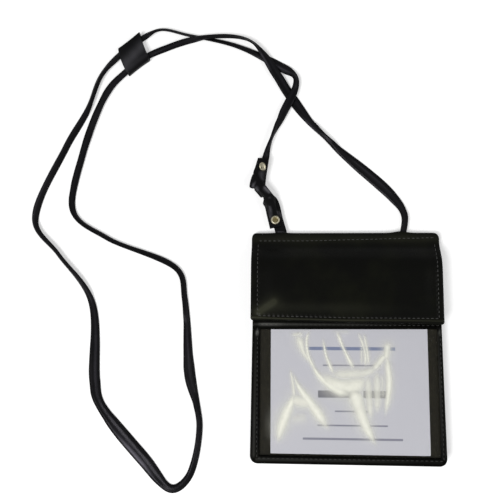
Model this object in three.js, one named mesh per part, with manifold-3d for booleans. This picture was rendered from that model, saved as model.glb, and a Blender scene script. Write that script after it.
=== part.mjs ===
// A leather badge and card holder on a neck strap, lying on its back.
//
// Millimetres. X runs across the holder, Y runs up it towards the neck strap, and Z points from the
// back face to the front. The origin is the middle of the back face.
//
// The holder is a flat pouch: a back panel, a divider in front of it with gussets between the two, and
// on the divider a clear window pocket that holds the badge. A padded flap is sewn into the hem at the
// top together with the ends of the neck strap, and it closes over the pouch with hook and loop tape.
import * as THREE from 'three';
import { mergeVertices } from 'three/addons/utils/BufferGeometryUtils.js';
import Module from 'manifold-3d';

const wasm = await Module();
wasm.setup();

// Outline of the holder
const holderHeight = 160;
const bodyBottomWidth = 133;
const bodyTopWidth = 129;
const bottomCornerRadius = 5.5;
const bottomY = -holderHeight / 2;
const topY = holderHeight / 2;

// Sheet thicknesses
const leather = 1.0;
const board = 0.8;
const lining = 0.3;
const backingLeather = 0.5;
const tapeThickness = 0.6;
const padding = 0.6;
const filmThickness = 0.2;
const cardThickness = 0.35;

// Clearances
const cutGap = 0.3;
const cardPlay = 0.275;
const closureGap = 0.3;

// Pouch
const compartmentDepth = 4.4;
const panelInset = 2.6;
const gussetFoot = 1.3;
const gussetFold = 3.0;
const bottomGussetWidth = 2.2;
const dividerTopGap = 18;
const backBoardTopGap = 2.0;

// Window pocket and badge
const frameUnderFlap = 13.4;
const windowSideBorder = 4.3;
const windowBottomBorder = 5.5;
const windowBelowFlap = 5.6;
const windowShift = 1.1;
const windowCornerRadius = 1.6;
const pocketStripWidth = 1.8;
const cardWidth = 108;
const cardHeight = 88.9;
const cardShift = 1.6;
const cardAboveBorder = 1.3;
const cardCornerRadius = 0.8;

// Hem, flap and its closure
const hemDepth = 6.1;
const hemTopZ = 5.0;
const hemCornerRadius = 4.0;
const flapLength = 63.4;
const flapHemGap = 0.6;
const flapEdgeSlant = 2.1;
const flapRiseLength = 22;
const flapEdgeInset = 1.6;
const tapeWidth = 60;
const tapeHeight = 8;
const tapeAboveEdge = 3.0;

// Leather tabs that link the neck strap to the hem
const tabLeather = 1.2;
const tabGap = 2.4;
const lowerTabWidth = 8.4;
const upperTabWidth = 8.0;
const tabBaseZ = 0.8;
const tabInHem = 4.8;
const tabFromSide = 21.1;
const lowerTabUnderShift = 1.5;
const lowerTabOverShift = -1.0;
const lowerRivetRun = 9.3;
const lowerRivetShift = -4.2;
const tabBendRun = 23.6;
const tabBendShift = -7.6;
const upperRivetRun = 48.5;
const upperRivetShift = -13.4;
const upperTabRun = 55.4;
const upperTabShift = -13.1;
const rivetCapDiameter = 6.4;
const rivetCapHeight = 1.3;
const rivetStemDiameter = 3.0;
const rivetBackThickness = 0.7;

// Neck strap and the keeper that slides on it
const strapWidth = 4.6;
const strapThickness = 1.8;
const strapSteps = 140;
const strapInHem = 4.4;
const strapStartShift = 0.9;
const strapSlant = 1.4;
const strapFromSide = 25.9;
const keeperLength = 20.7;
const keeperWall = 1.1;
const keeperStrandSpacing = 14.0;
const keeperSidePlay = 0.9;
const keeperTopPlay = 0.4;
const keeperShear = 0.28;
const keeperPlace = new THREE.Vector2(-157.0, 218.2);
const keeperAngle = THREE.MathUtils.degToRad(38);

// Levels of the sheets, counted up from the back face
const backBoardZ = leather;
const backLiningZ = backBoardZ + board;
const compartmentZ = backLiningZ + lining;
const dividerLiningZ = compartmentZ + compartmentDepth;
const dividerBoardZ = dividerLiningZ + lining;
const backingZ = dividerBoardZ + board;
const slotZ = backingZ + backingLeather;
const cardZ = slotZ + cardPlay;
const filmZ = cardZ + cardThickness + cardPlay;
const frameZ = filmZ + filmThickness;
const loopTapeZ = frameZ + leather;
const hookTapeZ = loopTapeZ + tapeThickness + closureGap;
const flapLiningZ = hookTapeZ + tapeThickness;
const flapBoardZ = flapLiningZ + lining;
const flapPaddingZ = flapBoardZ + board;
const flapLeatherZ = flapPaddingZ + padding;
const flapTopZ = flapLeatherZ + leather;

// Places of the edges across the holder
const bodyHalfWidth = (y) => THREE.MathUtils.lerp(bodyBottomWidth, bodyTopWidth, (y - bottomY) / holderHeight) / 2;
const flapWidth = bodyBottomWidth;
const dividerTopY = topY - dividerTopGap;
const hemBottomY = topY - hemDepth;
const flapRootY = hemBottomY - flapHemGap;
const flapEdgeY = topY - flapLength;
const hingeY = hemBottomY - flapHemGap / 2;
const hingeZ = hemTopZ + 0.4;
const tapeBottomY = flapEdgeY + tapeAboveEdge;
const frameTopY = flapEdgeY + frameUnderFlap;
const windowTopY = flapEdgeY - windowBelowFlap;
const windowBottomY = bottomY + windowBottomBorder;
const windowHalfWidth = Math.min(bodyHalfWidth(windowTopY), bodyHalfWidth(windowBottomY)) - windowSideBorder;
const cardBottomY = windowBottomY + cardAboveBorder;

// Colours
const material = (color, roughness, metalness = 0) => new THREE.MeshStandardMaterial({ color, roughness, metalness });
const blackLeather = material(0x141312, 0.42);
const greyBoard = material(0x8a8478, 0.9);
const darkLining = material(0x23231f, 0.85);
const backingSkin = material(0x2e2f2a, 0.6);
const clearFilm = material(0xd9dde0, 0.12);
const whiteCard = material(0xe9e8f2, 0.7);
const blackTape = material(0x1b1b1d, 0.95);
const greyFoam = material(0x5b5b58, 0.95);
const nickel = material(0xb3ac98, 0.32, 0.9);

const holder = new THREE.Group();

function place(name, geometry, look, z = 0) {
  const mesh = new THREE.Mesh(geometry, look);
  mesh.name = name;
  mesh.position.z = z;
  holder.add(mesh);
  return mesh;
}

// Booleans
function toSolid(geometry) {
  const plain = geometry.index ? geometry.toNonIndexed() : geometry.clone();
  plain.deleteAttribute('normal');
  plain.deleteAttribute('uv');
  const merged = mergeVertices(plain, 1e-5);
  return new wasm.Manifold(new wasm.Mesh({
    numProp: 3,
    vertProperties: new Float32Array(merged.attributes.position.array),
    triVerts: new Uint32Array(merged.index.array),
  }));
}

function toGeometry(solid) {
  const { vertProperties, triVerts } = solid.getMesh();
  const geometry = new THREE.BufferGeometry();
  geometry.setAttribute('position', new THREE.BufferAttribute(new Float32Array(vertProperties), 3));
  geometry.setIndex(new THREE.BufferAttribute(new Uint32Array(triVerts), 1));
  geometry.computeVertexNormals();
  return geometry;
}

const cut = (geometry, ...tools) => toGeometry(tools.reduce((rest, tool) => rest.subtract(toSolid(tool)), toSolid(geometry)));
const common = (geometry, tool) => toGeometry(toSolid(geometry).intersect(toSolid(tool)));

function box(low, high) {
  const size = high.map((value, axis) => value - low[axis]);
  const geometry = new THREE.BoxGeometry(...size);
  return geometry.translate(...low.map((value, axis) => value + size[axis] / 2));
}

// Flat outlines
function slab(shape, thickness) {
  return new THREE.ExtrudeGeometry(shape, { depth: thickness, bevelEnabled: false, curveSegments: 6 });
}

// The body's outline up to a given height: straight tapering sides and rounded bottom corners.
function bodyOutline(inset, upTo) {
  const low = bottomY + inset;
  const radius = Math.max(bottomCornerRadius - inset, 0.5);
  const side = (y) => bodyHalfWidth(y) - inset;
  const shape = new THREE.Shape();
  shape.moveTo(-side(upTo), upTo);
  shape.lineTo(-side(low + radius), low + radius);
  shape.quadraticCurveTo(-side(low), low, -side(low) + radius, low);
  shape.lineTo(side(low) - radius, low);
  shape.quadraticCurveTo(side(low), low, side(low + radius), low + radius);
  shape.lineTo(side(upTo), upTo);
  shape.closePath();
  return shape;
}

function roundedRectangle(left, bottom, right, top, radii) {
  const [bottomLeft, bottomRight, topRight, topLeft] = radii;
  const shape = new THREE.Shape();
  shape.moveTo(left + bottomLeft, bottom);
  shape.lineTo(right - bottomRight, bottom);
  shape.quadraticCurveTo(right, bottom, right, bottom + bottomRight);
  shape.lineTo(right, top - topRight);
  shape.quadraticCurveTo(right, top, right - topRight, top);
  shape.lineTo(left + topLeft, top);
  shape.quadraticCurveTo(left, top, left, top - topLeft);
  shape.lineTo(left, bottom + bottomLeft);
  shape.quadraticCurveTo(left, bottom, left + bottomLeft, bottom);
  return shape;
}

const rectangle = (left, bottom, right, top) => roundedRectangle(left, bottom, right, top, [0, 0, 0, 0]);

// Back of the pouch
const backBoardTopY = hemBottomY - backBoardTopGap;
place('back_panel', slab(bodyOutline(0, topY), leather), blackLeather);
place('back_board', slab(bodyOutline(panelInset, backBoardTopY), board), greyBoard, backBoardZ);
place('back_lining', slab(bodyOutline(panelInset, backBoardTopY), lining), darkLining, backLiningZ);

// Gussets: the side ones are strips folded inwards along their middle
const gussetHeight = backingZ - leather;
const gussetStartY = bottomY + bottomGussetWidth + cutGap;

function sideGusset(side) {
  const fold = new THREE.Shape();
  fold.moveTo(0, 0);
  fold.lineTo(gussetFoot, 0);
  fold.lineTo(gussetFoot + gussetFold, gussetHeight / 2);
  fold.lineTo(gussetFoot, gussetHeight);
  fold.lineTo(0, gussetHeight);
  fold.lineTo(gussetFold, gussetHeight / 2);
  fold.closePath();
  const geometry = new THREE.ExtrudeGeometry(fold, { depth: dividerTopY - gussetStartY, bevelEnabled: false });
  const position = geometry.attributes.position;
  for (let i = 0; i < position.count; i += 1) {
    const y = gussetStartY + position.getZ(i);
    const inward = position.getX(i);
    position.setXYZ(i, side * (bodyHalfWidth(y) - inward), y, position.getY(i));
  }
  return side < 0 ? turnedInsideOut(geometry) : geometry;
}

// Mirrored triangles are wound the other way round again, so that they face outwards.
function turnedInsideOut(geometry) {
  const plain = geometry.index ? geometry.toNonIndexed() : geometry;
  const position = plain.attributes.position;
  for (let i = 0; i < position.count; i += 3) {
    const a = new THREE.Vector3().fromBufferAttribute(position, i + 1);
    const b = new THREE.Vector3().fromBufferAttribute(position, i + 2);
    position.setXYZ(i + 1, b.x, b.y, b.z);
    position.setXYZ(i + 2, a.x, a.y, a.z);
  }
  plain.computeVertexNormals();
  return plain;
}

const edgeLimit = bodyBottomWidth;
const belowY = (y, thickness) => box([-edgeLimit, bottomY - 1, -1], [edgeLimit, y, thickness + 1]);
const bottomPart = (y, thickness) => common(slab(bodyOutline(0, topY), thickness), belowY(y, thickness));

place('left_gusset', sideGusset(-1), blackLeather, leather);
place('right_gusset', sideGusset(1), blackLeather, leather);
place('bottom_gusset', bottomPart(bottomY + bottomGussetWidth, gussetHeight), blackLeather, leather);

// Divider, whose front face backs the badge
place('divider_lining', slab(bodyOutline(panelInset, dividerTopY), lining), darkLining, dividerLiningZ);
place('divider_board', slab(bodyOutline(panelInset, dividerTopY), board), greyBoard, dividerBoardZ);
place('badge_backing', slab(bodyOutline(0, dividerTopY), backingLeather), backingSkin, backingZ);

// Strips that hold the film off the backing, left, right and bottom; the pocket is open at its top
const slotHeight = filmZ + filmThickness - slotZ;
const stripBottomTopY = bottomY + pocketStripWidth;

function sideStrip(side) {
  const ring = cut(slab(bodyOutline(0, frameTopY), slotHeight), slab(bodyOutline(pocketStripWidth, topY), slotHeight + 2)
    .translate(0, 0, -1));
  const low = [side < 0 ? -edgeLimit : 0, stripBottomTopY + cutGap, -1];
  const high = [side < 0 ? 0 : edgeLimit, topY, slotHeight + 1];
  return common(ring, box(low, high));
}

place('pocket_strip_left', sideStrip(-1), blackLeather, slotZ);
place('pocket_strip_right', sideStrip(1), blackLeather, slotZ);
place('pocket_strip_bottom', bottomPart(stripBottomTopY, slotHeight), blackLeather, slotZ);

// Badge, film and frame
const cardLeft = cardShift - cardWidth / 2;
const cardCorners = [cardCornerRadius, cardCornerRadius, cardCornerRadius, cardCornerRadius];
const cardOutline = roundedRectangle(cardLeft, cardBottomY, cardLeft + cardWidth, cardBottomY + cardHeight, cardCorners);
place('badge_card', slab(cardOutline, cardThickness), whiteCard, cardZ);
place('window_film', slab(bodyOutline(pocketStripWidth + cutGap, frameTopY), filmThickness), clearFilm, filmZ);

const frameOutline = bodyOutline(0, frameTopY);
const windowLeft = windowShift - windowHalfWidth;
const windowRight = windowShift + windowHalfWidth;
const windowCorners = [windowCornerRadius, windowCornerRadius, windowCornerRadius, windowCornerRadius];
frameOutline.holes.push(roundedRectangle(windowLeft, windowBottomY, windowRight, windowTopY, windowCorners));
place('window_frame', slab(frameOutline, leather), blackLeather, frameZ);

// Hook and loop closure
const tapeOutline = rectangle(-tapeWidth / 2, tapeBottomY, tapeWidth / 2, tapeBottomY + tapeHeight);
place('loop_tape', slab(tapeOutline, tapeThickness), blackTape, loopTapeZ);
place('hook_tape', slab(tapeOutline, tapeThickness), blackTape, hookTapeZ);

// Leather tabs. Each is one strip whose middle is folded round the other's, like two chain links.
// The levels of the four layers where the loops cross, from the floor up
const tabPitch = (tabGap + tabLeather) / 2;
const upperBottomZ = tabBaseZ + tabLeather / 2;
const lowerBottomZ = upperBottomZ + tabPitch;
const upperTopZ = lowerBottomZ + tabPitch;
const lowerTopZ = upperTopZ + tabPitch;
const lowerClosedZ = lowerBottomZ + tabLeather + cutGap;

const lowerRoot = new THREE.Vector2(tabFromSide - flapWidth / 2, topY);
const fromRoot = (x, y) => lowerRoot.clone().add(new THREE.Vector2(x, y));
const lowerRivet = fromRoot(lowerRivetShift, lowerRivetRun);
const lowerBend = fromRoot(tabBendShift, tabBendRun);
const upperRivet = fromRoot(upperRivetShift, upperRivetRun);
const upperTabEnd = fromRoot(upperTabShift, upperTabRun);
const upperDirection = new THREE.Vector2(-0.138, -0.990).normalize();
const lowerDirection = new THREE.Vector2(-0.645, 0.764).normalize();

const rightOf = (direction) => new THREE.Vector2(direction.y, -direction.x);
const crossing = Math.abs(upperDirection.dot(rightOf(lowerDirection)));

// Where each fold lies: level with the edge of the other tab's layer that it goes round
const lowerSide = rightOf(lowerDirection);
const upperSide = rightOf(upperDirection).negate();
const alongUpper = (distance) => upperTabEnd.clone().addScaledVector(upperDirection, distance);
const alongLower = (distance) => lowerBend.clone().addScaledVector(lowerDirection, distance);
const lowerEdgeLevel = lowerBend.dot(lowerSide) - lowerTabWidth / 2;
const upperFold = alongUpper((upperTabEnd.dot(lowerSide) - lowerEdgeLevel) / crossing);
const upperEdgeLevel = upperTabEnd.dot(upperSide) - upperTabWidth / 2;
const lowerFold = alongLower((lowerBend.dot(upperSide) - upperEdgeLevel) / crossing);

// A strip of leather through stations: a middle point, the half width as a flat vector, and the sheet's
// own thickness square to both.
function ribbon(stations, thickness) {
  const rings = stations.map(({ at, half }, i) => {
    const before = stations[Math.max(i - 1, 0)].at;
    const after = stations[Math.min(i + 1, stations.length - 1)].at;
    const side = new THREE.Vector3(half.x, half.y, 0);
    const up = after.clone().sub(before).cross(side).normalize().multiplyScalar(thickness / 2);
    return [
      at.clone().add(side).add(up),
      at.clone().sub(side).add(up),
      at.clone().sub(side).sub(up),
      at.clone().add(side).sub(up),
    ];
  });
  const points = rings.flat().flatMap((point) => point.toArray());
  const faces = [0, 2, 1, 0, 3, 2];
  for (let ring = 0; ring < rings.length - 1; ring += 1) {
    for (let corner = 0; corner < 4; corner += 1) {
      const a = ring * 4 + corner;
      const b = ring * 4 + ((corner + 1) % 4);
      faces.push(a, b, b + 4, a, b + 4, a + 4);
    }
  }
  const end = (rings.length - 1) * 4;
  faces.push(end, end + 1, end + 2, end, end + 2, end + 3);
  const geometry = new THREE.BufferGeometry();
  geometry.setAttribute('position', new THREE.BufferAttribute(new Float32Array(points), 3));
  geometry.setIndex(faces);
  return signedVolume(geometry) < 0 ? turnedInsideOut(geometry) : geometry;
}

function signedVolume(geometry) {
  const position = geometry.attributes.position;
  const corner = (i) => new THREE.Vector3().fromBufferAttribute(position, geometry.index.getX(i));
  let volume = 0;
  for (let i = 0; i < geometry.index.count; i += 3) {
    volume += corner(i).dot(corner(i + 1).cross(corner(i + 2))) / 6;
  }
  return volume;
}

const station = (point, z, half) => ({ at: new THREE.Vector3(point.x, point.y, z), half });
const halfAcross = (direction, width) => rightOf(direction).multiplyScalar(width / 2);

// The turn of a fold, from the lower layer to the upper one
function foldStations(middle, outward, z, half) {
  const steps = 6;
  return Array.from({ length: steps + 1 }, (_, i) => {
    const turn = Math.PI * (i / steps - 0.5);
    const point = middle.clone().addScaledVector(outward, Math.cos(turn) * tabPitch);
    return station(point, z + Math.sin(turn) * tabPitch, half);
  });
}

const rivetHole = (place2) => new THREE.CylinderGeometry(
  rivetStemDiameter / 2 + cutGap, rivetStemDiameter / 2 + cutGap, 4 * hemTopZ, 16,
).rotateX(Math.PI / 2).translate(place2.x, place2.y, 0);

const rootDirection = new THREE.Vector2(0, 1);
const rivetDirection = lowerBend.clone().sub(lowerRivet).normalize();
const bendDirection = rivetDirection.clone().add(lowerDirection).normalize();
const beforeBend = lowerBend.clone().addScaledVector(rivetDirection, -3.5);
const afterBend = alongLower(4.5);
const lowerEnd = lowerRivet.clone().addScaledVector(rivetDirection, -5.2);
const pastRivet = lowerRivet.clone().addScaledVector(rivetDirection, rivetCapDiameter / 2 + 2);
const rootHalf = rightOf(rootDirection).multiplyScalar(lowerTabWidth / 2);
const lowerFoldHalf = upperDirection.clone().negate().multiplyScalar(lowerTabWidth / 2 / crossing);
const lowerHalf = (direction) => halfAcross(direction, lowerTabWidth);
const aside = (point, distance) => point.clone().addScaledVector(rightOf(rivetDirection), distance);
const tabRootY = topY - tabInHem;

const lowerTab = ribbon([
  station(new THREE.Vector2(lowerRoot.x, tabRootY), lowerBottomZ, rootHalf),
  station(new THREE.Vector2(lowerRoot.x, topY + cutGap), lowerBottomZ, rootHalf),
  station(aside(lowerRivet, lowerTabUnderShift), lowerBottomZ, lowerHalf(rivetDirection)),
  station(aside(beforeBend, lowerTabUnderShift), lowerBottomZ, lowerHalf(rivetDirection)),
  station(aside(lowerBend, lowerTabUnderShift / 2), lowerBottomZ, lowerHalf(bendDirection)),
  station(afterBend, lowerBottomZ, lowerHalf(lowerDirection)),
  ...foldStations(lowerFold, upperSide.clone().negate(), upperTopZ, lowerFoldHalf),
  station(afterBend, lowerTopZ, lowerHalf(lowerDirection)),
  station(aside(lowerBend, lowerTabOverShift / 2), lowerTopZ - tabPitch / 3, lowerHalf(bendDirection)),
  station(aside(beforeBend, lowerTabOverShift), lowerClosedZ + tabPitch / 3, lowerHalf(rivetDirection)),
  station(aside(pastRivet, lowerTabOverShift), lowerClosedZ, lowerHalf(rivetDirection)),
  station(aside(lowerRivet, lowerTabOverShift), lowerClosedZ, lowerHalf(rivetDirection)),
  station(aside(lowerEnd, lowerTabOverShift), lowerClosedZ, lowerHalf(rivetDirection)),
], tabLeather);
place('lower_tab', cut(lowerTab, rivetHole(lowerRivet)), blackLeather);

const upperHalf = rightOf(upperDirection).negate().multiplyScalar(upperTabWidth / 2);
const upperFoldHalf = lowerDirection.clone().negate().multiplyScalar(upperTabWidth / 2 / crossing);
const upperTab = ribbon([
  station(upperTabEnd, upperBottomZ, upperHalf),
  station(alongUpper(upperTabWidth), upperBottomZ, upperHalf),
  ...foldStations(upperFold, lowerSide.clone().negate(), lowerBottomZ, upperFoldHalf),
  station(alongUpper(upperTabWidth), upperTopZ, upperHalf),
  station(upperTabEnd, upperTopZ, upperHalf),
], tabLeather);
place('upper_tab', cut(upperTab, rivetHole(upperRivet)), blackLeather);

// Rivets: a domed cap with its stem, and a flat back cap under the tab
function rivet(name, point, lowZ, highZ) {
  const capRadius = rivetCapDiameter / 2;
  const profile = [
    new THREE.Vector2(0, lowZ),
    new THREE.Vector2(rivetStemDiameter / 2, lowZ),
    new THREE.Vector2(rivetStemDiameter / 2, highZ),
    new THREE.Vector2(capRadius, highZ),
  ];
  const domeSteps = 5;
  for (let i = 0; i <= domeSteps; i += 1) {
    const turn = (Math.PI / 2) * (i / domeSteps);
    const rise = rivetCapHeight * (0.25 + 0.75 * Math.sin(turn));
    profile.push(new THREE.Vector2(capRadius * Math.cos(turn), highZ + rise));
  }
  profile[profile.length - 1].x = 0;
  const cap = new THREE.LatheGeometry(profile, 24).rotateX(Math.PI / 2);
  const back = new THREE.CylinderGeometry(capRadius, capRadius, rivetBackThickness, 24).rotateX(Math.PI / 2);
  cap.translate(point.x, point.y, 0);
  back.translate(point.x, point.y, lowZ - rivetBackThickness / 2);
  place(`${name}_cap`, cap, nickel);
  place(`${name}_back`, back, nickel);
}

rivet('lower_rivet', lowerRivet, lowerBottomZ - tabLeather / 2, lowerClosedZ + tabLeather / 2);
rivet('upper_rivet', upperRivet, upperBottomZ - tabLeather / 2, upperTopZ + tabLeather / 2);

// Neck strap: a leather strip folded in half lengthwise, one length from the upper tab round to the hem.
// Its middle line, chosen by hand; it lies on the floor and hops over itself where it crosses.
const floorZ = strapThickness / 2 + cutGap;
const overZ = floorZ + strapThickness + 0.5;
const strapTabZ = (upperBottomZ + upperTopZ) / 2;
const strapHemZ = leather + cutGap + 0.3 + strapThickness / 2;
const keeperZ = keeperWall + keeperTopPlay + strapThickness / 2;
const keeperAlong = new THREE.Vector2(Math.cos(keeperAngle), Math.sin(keeperAngle));
const keeperAcross = new THREE.Vector2(-keeperAlong.y, keeperAlong.x);

function inKeeper(along, strand) {
  const point = keeperPlace.clone().addScaledVector(keeperAlong, along);
  point.addScaledVector(keeperAcross, strand * keeperStrandSpacing / 2);
  return [point.x, point.y, keeperZ];
}

const strapStart = alongUpper(3.6).add(new THREE.Vector2(strapStartShift, 0));
const strapHemX = flapWidth / 2 - strapFromSide;
const strapRoute = [
  [strapStart.x, strapStart.y, strapTabZ],
  [-52.7, 149.6, floorZ + 1.6],
  [-44.7, 168.7, overZ],
  [-34.3, 196.1, overZ],
  [-47.8, 208.0, floorZ + 0.2],
  [-79.2, 223.9, floorZ + 0.1],
  [-115.9, 232.9, floorZ + 0.1],
  [-138.0, 237.5, floorZ + 0.6],
  inKeeper(10, 1),
  inKeeper(-9, 1),
  [-182.2, 202.0, floorZ + 0.6],
  [-192.1, 175.0, floorZ],
  [-207.4, 146.1, floorZ],
  [-228.0, 89.7, floorZ],
  [-209.1, 64.8, floorZ],
  [-183.3, 31.0, floorZ],
  [-178.7, -25.5, floorZ],
  [-175.2, -40.5, floorZ],
  [-141.5, -80.1, floorZ],
  [-121.3, -99.5, floorZ],
  [-110.1, -91.9, floorZ],
  [-102.2, -56.8, floorZ],
  [-110.2, -20.9, floorZ],
  [-114.5, 33.0, floorZ],
  [-119.6, 53.2, floorZ],
  [-172.9, 77.3, floorZ],
  [-198.9, 96.8, floorZ],
  [-194.1, 141.3, floorZ + 0.5],
  [-176.8, 189.4, floorZ + 1.1],
  inKeeper(-15, -1),
  inKeeper(5, -1),
  [-133.8, 221.7, floorZ + 1.7],
  [-102.4, 230.4, overZ],
  [-68.6, 226.2, overZ],
  [-48.7, 199.8, floorZ + 2.0],
  [-41.0, 187.4, floorZ + 0.4],
  [-19.0, 157.5, floorZ + 0.1],
  [34.6, 107.3, floorZ + 0.1],
  [strapHemX + strapSlant + 0.6, 94.3, floorZ + 0.7],
  [strapHemX, topY - strapInHem, strapHemZ],
];

// The strap's section has its corners taken off, and X of the section is its thickness.
function strapSection() {
  const halfThickness = strapThickness / 2;
  const halfWidth = strapWidth / 2;
  const corner = strapThickness / 4;
  const section = new THREE.Shape();
  section.moveTo(-halfThickness, -halfWidth + corner);
  section.lineTo(-halfThickness + corner, -halfWidth);
  section.lineTo(halfThickness - corner, -halfWidth);
  section.lineTo(halfThickness, -halfWidth + corner);
  section.lineTo(halfThickness, halfWidth - corner);
  section.lineTo(halfThickness - corner, halfWidth);
  section.lineTo(-halfThickness + corner, halfWidth);
  section.lineTo(-halfThickness, halfWidth - corner);
  section.closePath();
  return section;
}

const strapCurve = new THREE.CatmullRomCurve3(strapRoute.map((point) => new THREE.Vector3(...point)), false, 'centripetal');
const strapGeometry = new THREE.ExtrudeGeometry(strapSection(), { steps: strapSteps, extrudePath: strapCurve });
place('neck_strap', strapGeometry, blackLeather);

// Keeper: a flat sleeve of leather round both strands, its ends cut askew
const keeperInnerWidth = keeperStrandSpacing + strapWidth + 2 * keeperSidePlay;
const keeperInnerHeight = strapThickness + 2 * keeperTopPlay;
const keeperOuterWidth = keeperInnerWidth + 2 * keeperWall;
const keeperOuterHeight = keeperInnerHeight + 2 * keeperWall;
const keeperRadius = keeperOuterHeight / 3;
const keeperInnerRadius = keeperRadius - keeperWall / 2;
const keeperSection = roundedRectangle(
  -keeperOuterWidth / 2, 0, keeperOuterWidth / 2, keeperOuterHeight, Array(4).fill(keeperRadius),
);
keeperSection.holes.push(roundedRectangle(
  -keeperInnerWidth / 2, keeperWall, keeperInnerWidth / 2, keeperWall + keeperInnerHeight, Array(4).fill(keeperInnerRadius),
));
const keeperGeometry = slab(keeperSection, keeperLength).translate(0, 0, -keeperLength / 2);
keeperGeometry.applyMatrix4(new THREE.Matrix4().makeBasis(
  new THREE.Vector3(keeperAcross.x + keeperShear * keeperAlong.x, keeperAcross.y + keeperShear * keeperAlong.y, 0),
  new THREE.Vector3(0, 0, 1),
  new THREE.Vector3(keeperAlong.x, keeperAlong.y, 0),
));
keeperGeometry.translate(keeperPlace.x, keeperPlace.y, 0);
place('slide_keeper', keeperGeometry, blackLeather);

// Top hem, with a pocket underneath for the lower tab and one for the strap's end
const hemOutline = roundedRectangle(
  -flapWidth / 2, hemBottomY, flapWidth / 2, topY, [0, 0, hemCornerRadius, hemCornerRadius],
);

function hemPocket(x, width, depth, roofZ) {
  return box([x - width / 2 - cutGap, topY - depth - cutGap, 0], [x + width / 2 + cutGap, topY + 1, roofZ + cutGap]);
}

const hemGeometry = cut(
  slab(hemOutline, hemTopZ - leather).translate(0, 0, leather),
  hemPocket(lowerRoot.x, lowerTabWidth, tabInHem, lowerBottomZ + tabLeather / 2),
  hemPocket(strapHemX, strapWidth + strapSlant, strapInHem, strapHemZ + strapThickness / 2),
);
place('top_hem', hemGeometry, blackLeather);

// Flap: its outer leather rises from the hem over the mouth of the pouch, runs level, and turns down
// round the lower edge. The slant of that edge is a sideways tilt that grows towards it.
const flapRise = new THREE.CatmullRomCurve3([
  new THREE.Vector3(0, flapRootY, hemTopZ),
  new THREE.Vector3(0, flapRootY - flapRiseLength * 0.17, hemTopZ + (flapTopZ - hemTopZ) * 0.16),
  new THREE.Vector3(0, flapRootY - flapRiseLength * 0.38, hemTopZ + (flapTopZ - hemTopZ) * 0.52),
  new THREE.Vector3(0, flapRootY - flapRiseLength * 0.6, hemTopZ + (flapTopZ - hemTopZ) * 0.84),
  new THREE.Vector3(0, flapRootY - flapRiseLength * 0.82, hemTopZ + (flapTopZ - hemTopZ) * 0.97),
  new THREE.Vector3(0, flapRootY - flapRiseLength, flapTopZ),
]);
const riseSteps = 12;

// Points of the rise, moved inwards by a given depth, as [y, z] pairs from the root to the level part
function risePoints(depth) {
  return Array.from({ length: riseSteps + 1 }, (_, i) => {
    const at = flapRise.getPoint(i / riseSteps);
    const along = flapRise.getTangent(i / riseSteps);
    if (i === 0 || i === riseSteps) along.set(0, -1, 0);
    return [at.y + along.z * depth, at.z + along.y * depth];
  });
}

// A sheet from its top and bottom lines in Y and Z, run across X
function acrossSheet(line, width) {
  const shape = new THREE.Shape(line.map(([y, z]) => new THREE.Vector2(y, z)));
  const geometry = new THREE.ExtrudeGeometry(shape, { depth: width, bevelEnabled: false });
  return geometry.applyMatrix4(new THREE.Matrix4().set(
    0, 0, 1, -width / 2,
    1, 0, 0, 0,
    0, 1, 0, 0,
    0, 0, 0, 1,
  ));
}

function slanted(geometry) {
  const position = geometry.attributes.position;
  for (let i = 0; i < position.count; i += 1) {
    const share = (flapRootY - position.getY(i)) / (flapRootY - flapEdgeY);
    position.setY(i, position.getY(i) - flapEdgeSlant * share * (position.getX(i) / flapWidth));
  }
  return geometry;
}

const leatherTopLine = risePoints(0);
const leatherUnderLine = risePoints(leather);
const flapLeatherLine = [
  ...leatherTopLine,
  [flapEdgeY, flapTopZ],
  [flapEdgeY, flapLiningZ],
  [flapEdgeY + leather, flapLiningZ],
  [flapEdgeY + leather, flapLeatherZ],
  ...leatherUnderLine.reverse(),
];
place('flap_leather', slanted(acrossSheet(flapLeatherLine, flapWidth)), blackLeather);

// What the flap's leather holds: padding and board in the level part, and a lining over the whole inside
const flapInnerWidth = flapWidth - 2 * flapEdgeInset;
const fillStartY = flapEdgeY + leather + cutGap;
const fillEndY = flapRootY - flapRiseLength;

function flapFill(thickness) {
  return slanted(slab(rectangle(-flapInnerWidth / 2, fillStartY, flapInnerWidth / 2, fillEndY), thickness));
}

place('flap_padding', flapFill(padding), greyFoam, flapPaddingZ);
place('flap_board', flapFill(board), greyBoard, flapBoardZ);

const underRise = (depth, ceiling) => risePoints(depth).map(([y, z]) => [y, Math.min(z, ceiling)]);
const liningLine = [
  ...underRise(leather + cutGap, flapBoardZ),
  [fillStartY, flapBoardZ],
  [fillStartY, flapLiningZ],
  ...underRise(leather + cutGap + lining, flapLiningZ).reverse(),
];
place('flap_lining', slanted(acrossSheet(liningLine, flapInnerWidth)), darkLining);

export default holder;
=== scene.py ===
# %% [markdown]
# # A leather badge holder on a neck strap
# The holder is a flat black leather pouch. Its front has a clear vinyl window with a badge card behind it,
# and a padded flap comes down over the top third. A long leather strap runs from the top hem to two linked
# leather tabs. The solids of the part are loaded first, and every piece here is made around them.
# %% Load the frame
import math

import bpy
import numpy as np
from mathutils import Matrix, Vector


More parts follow.
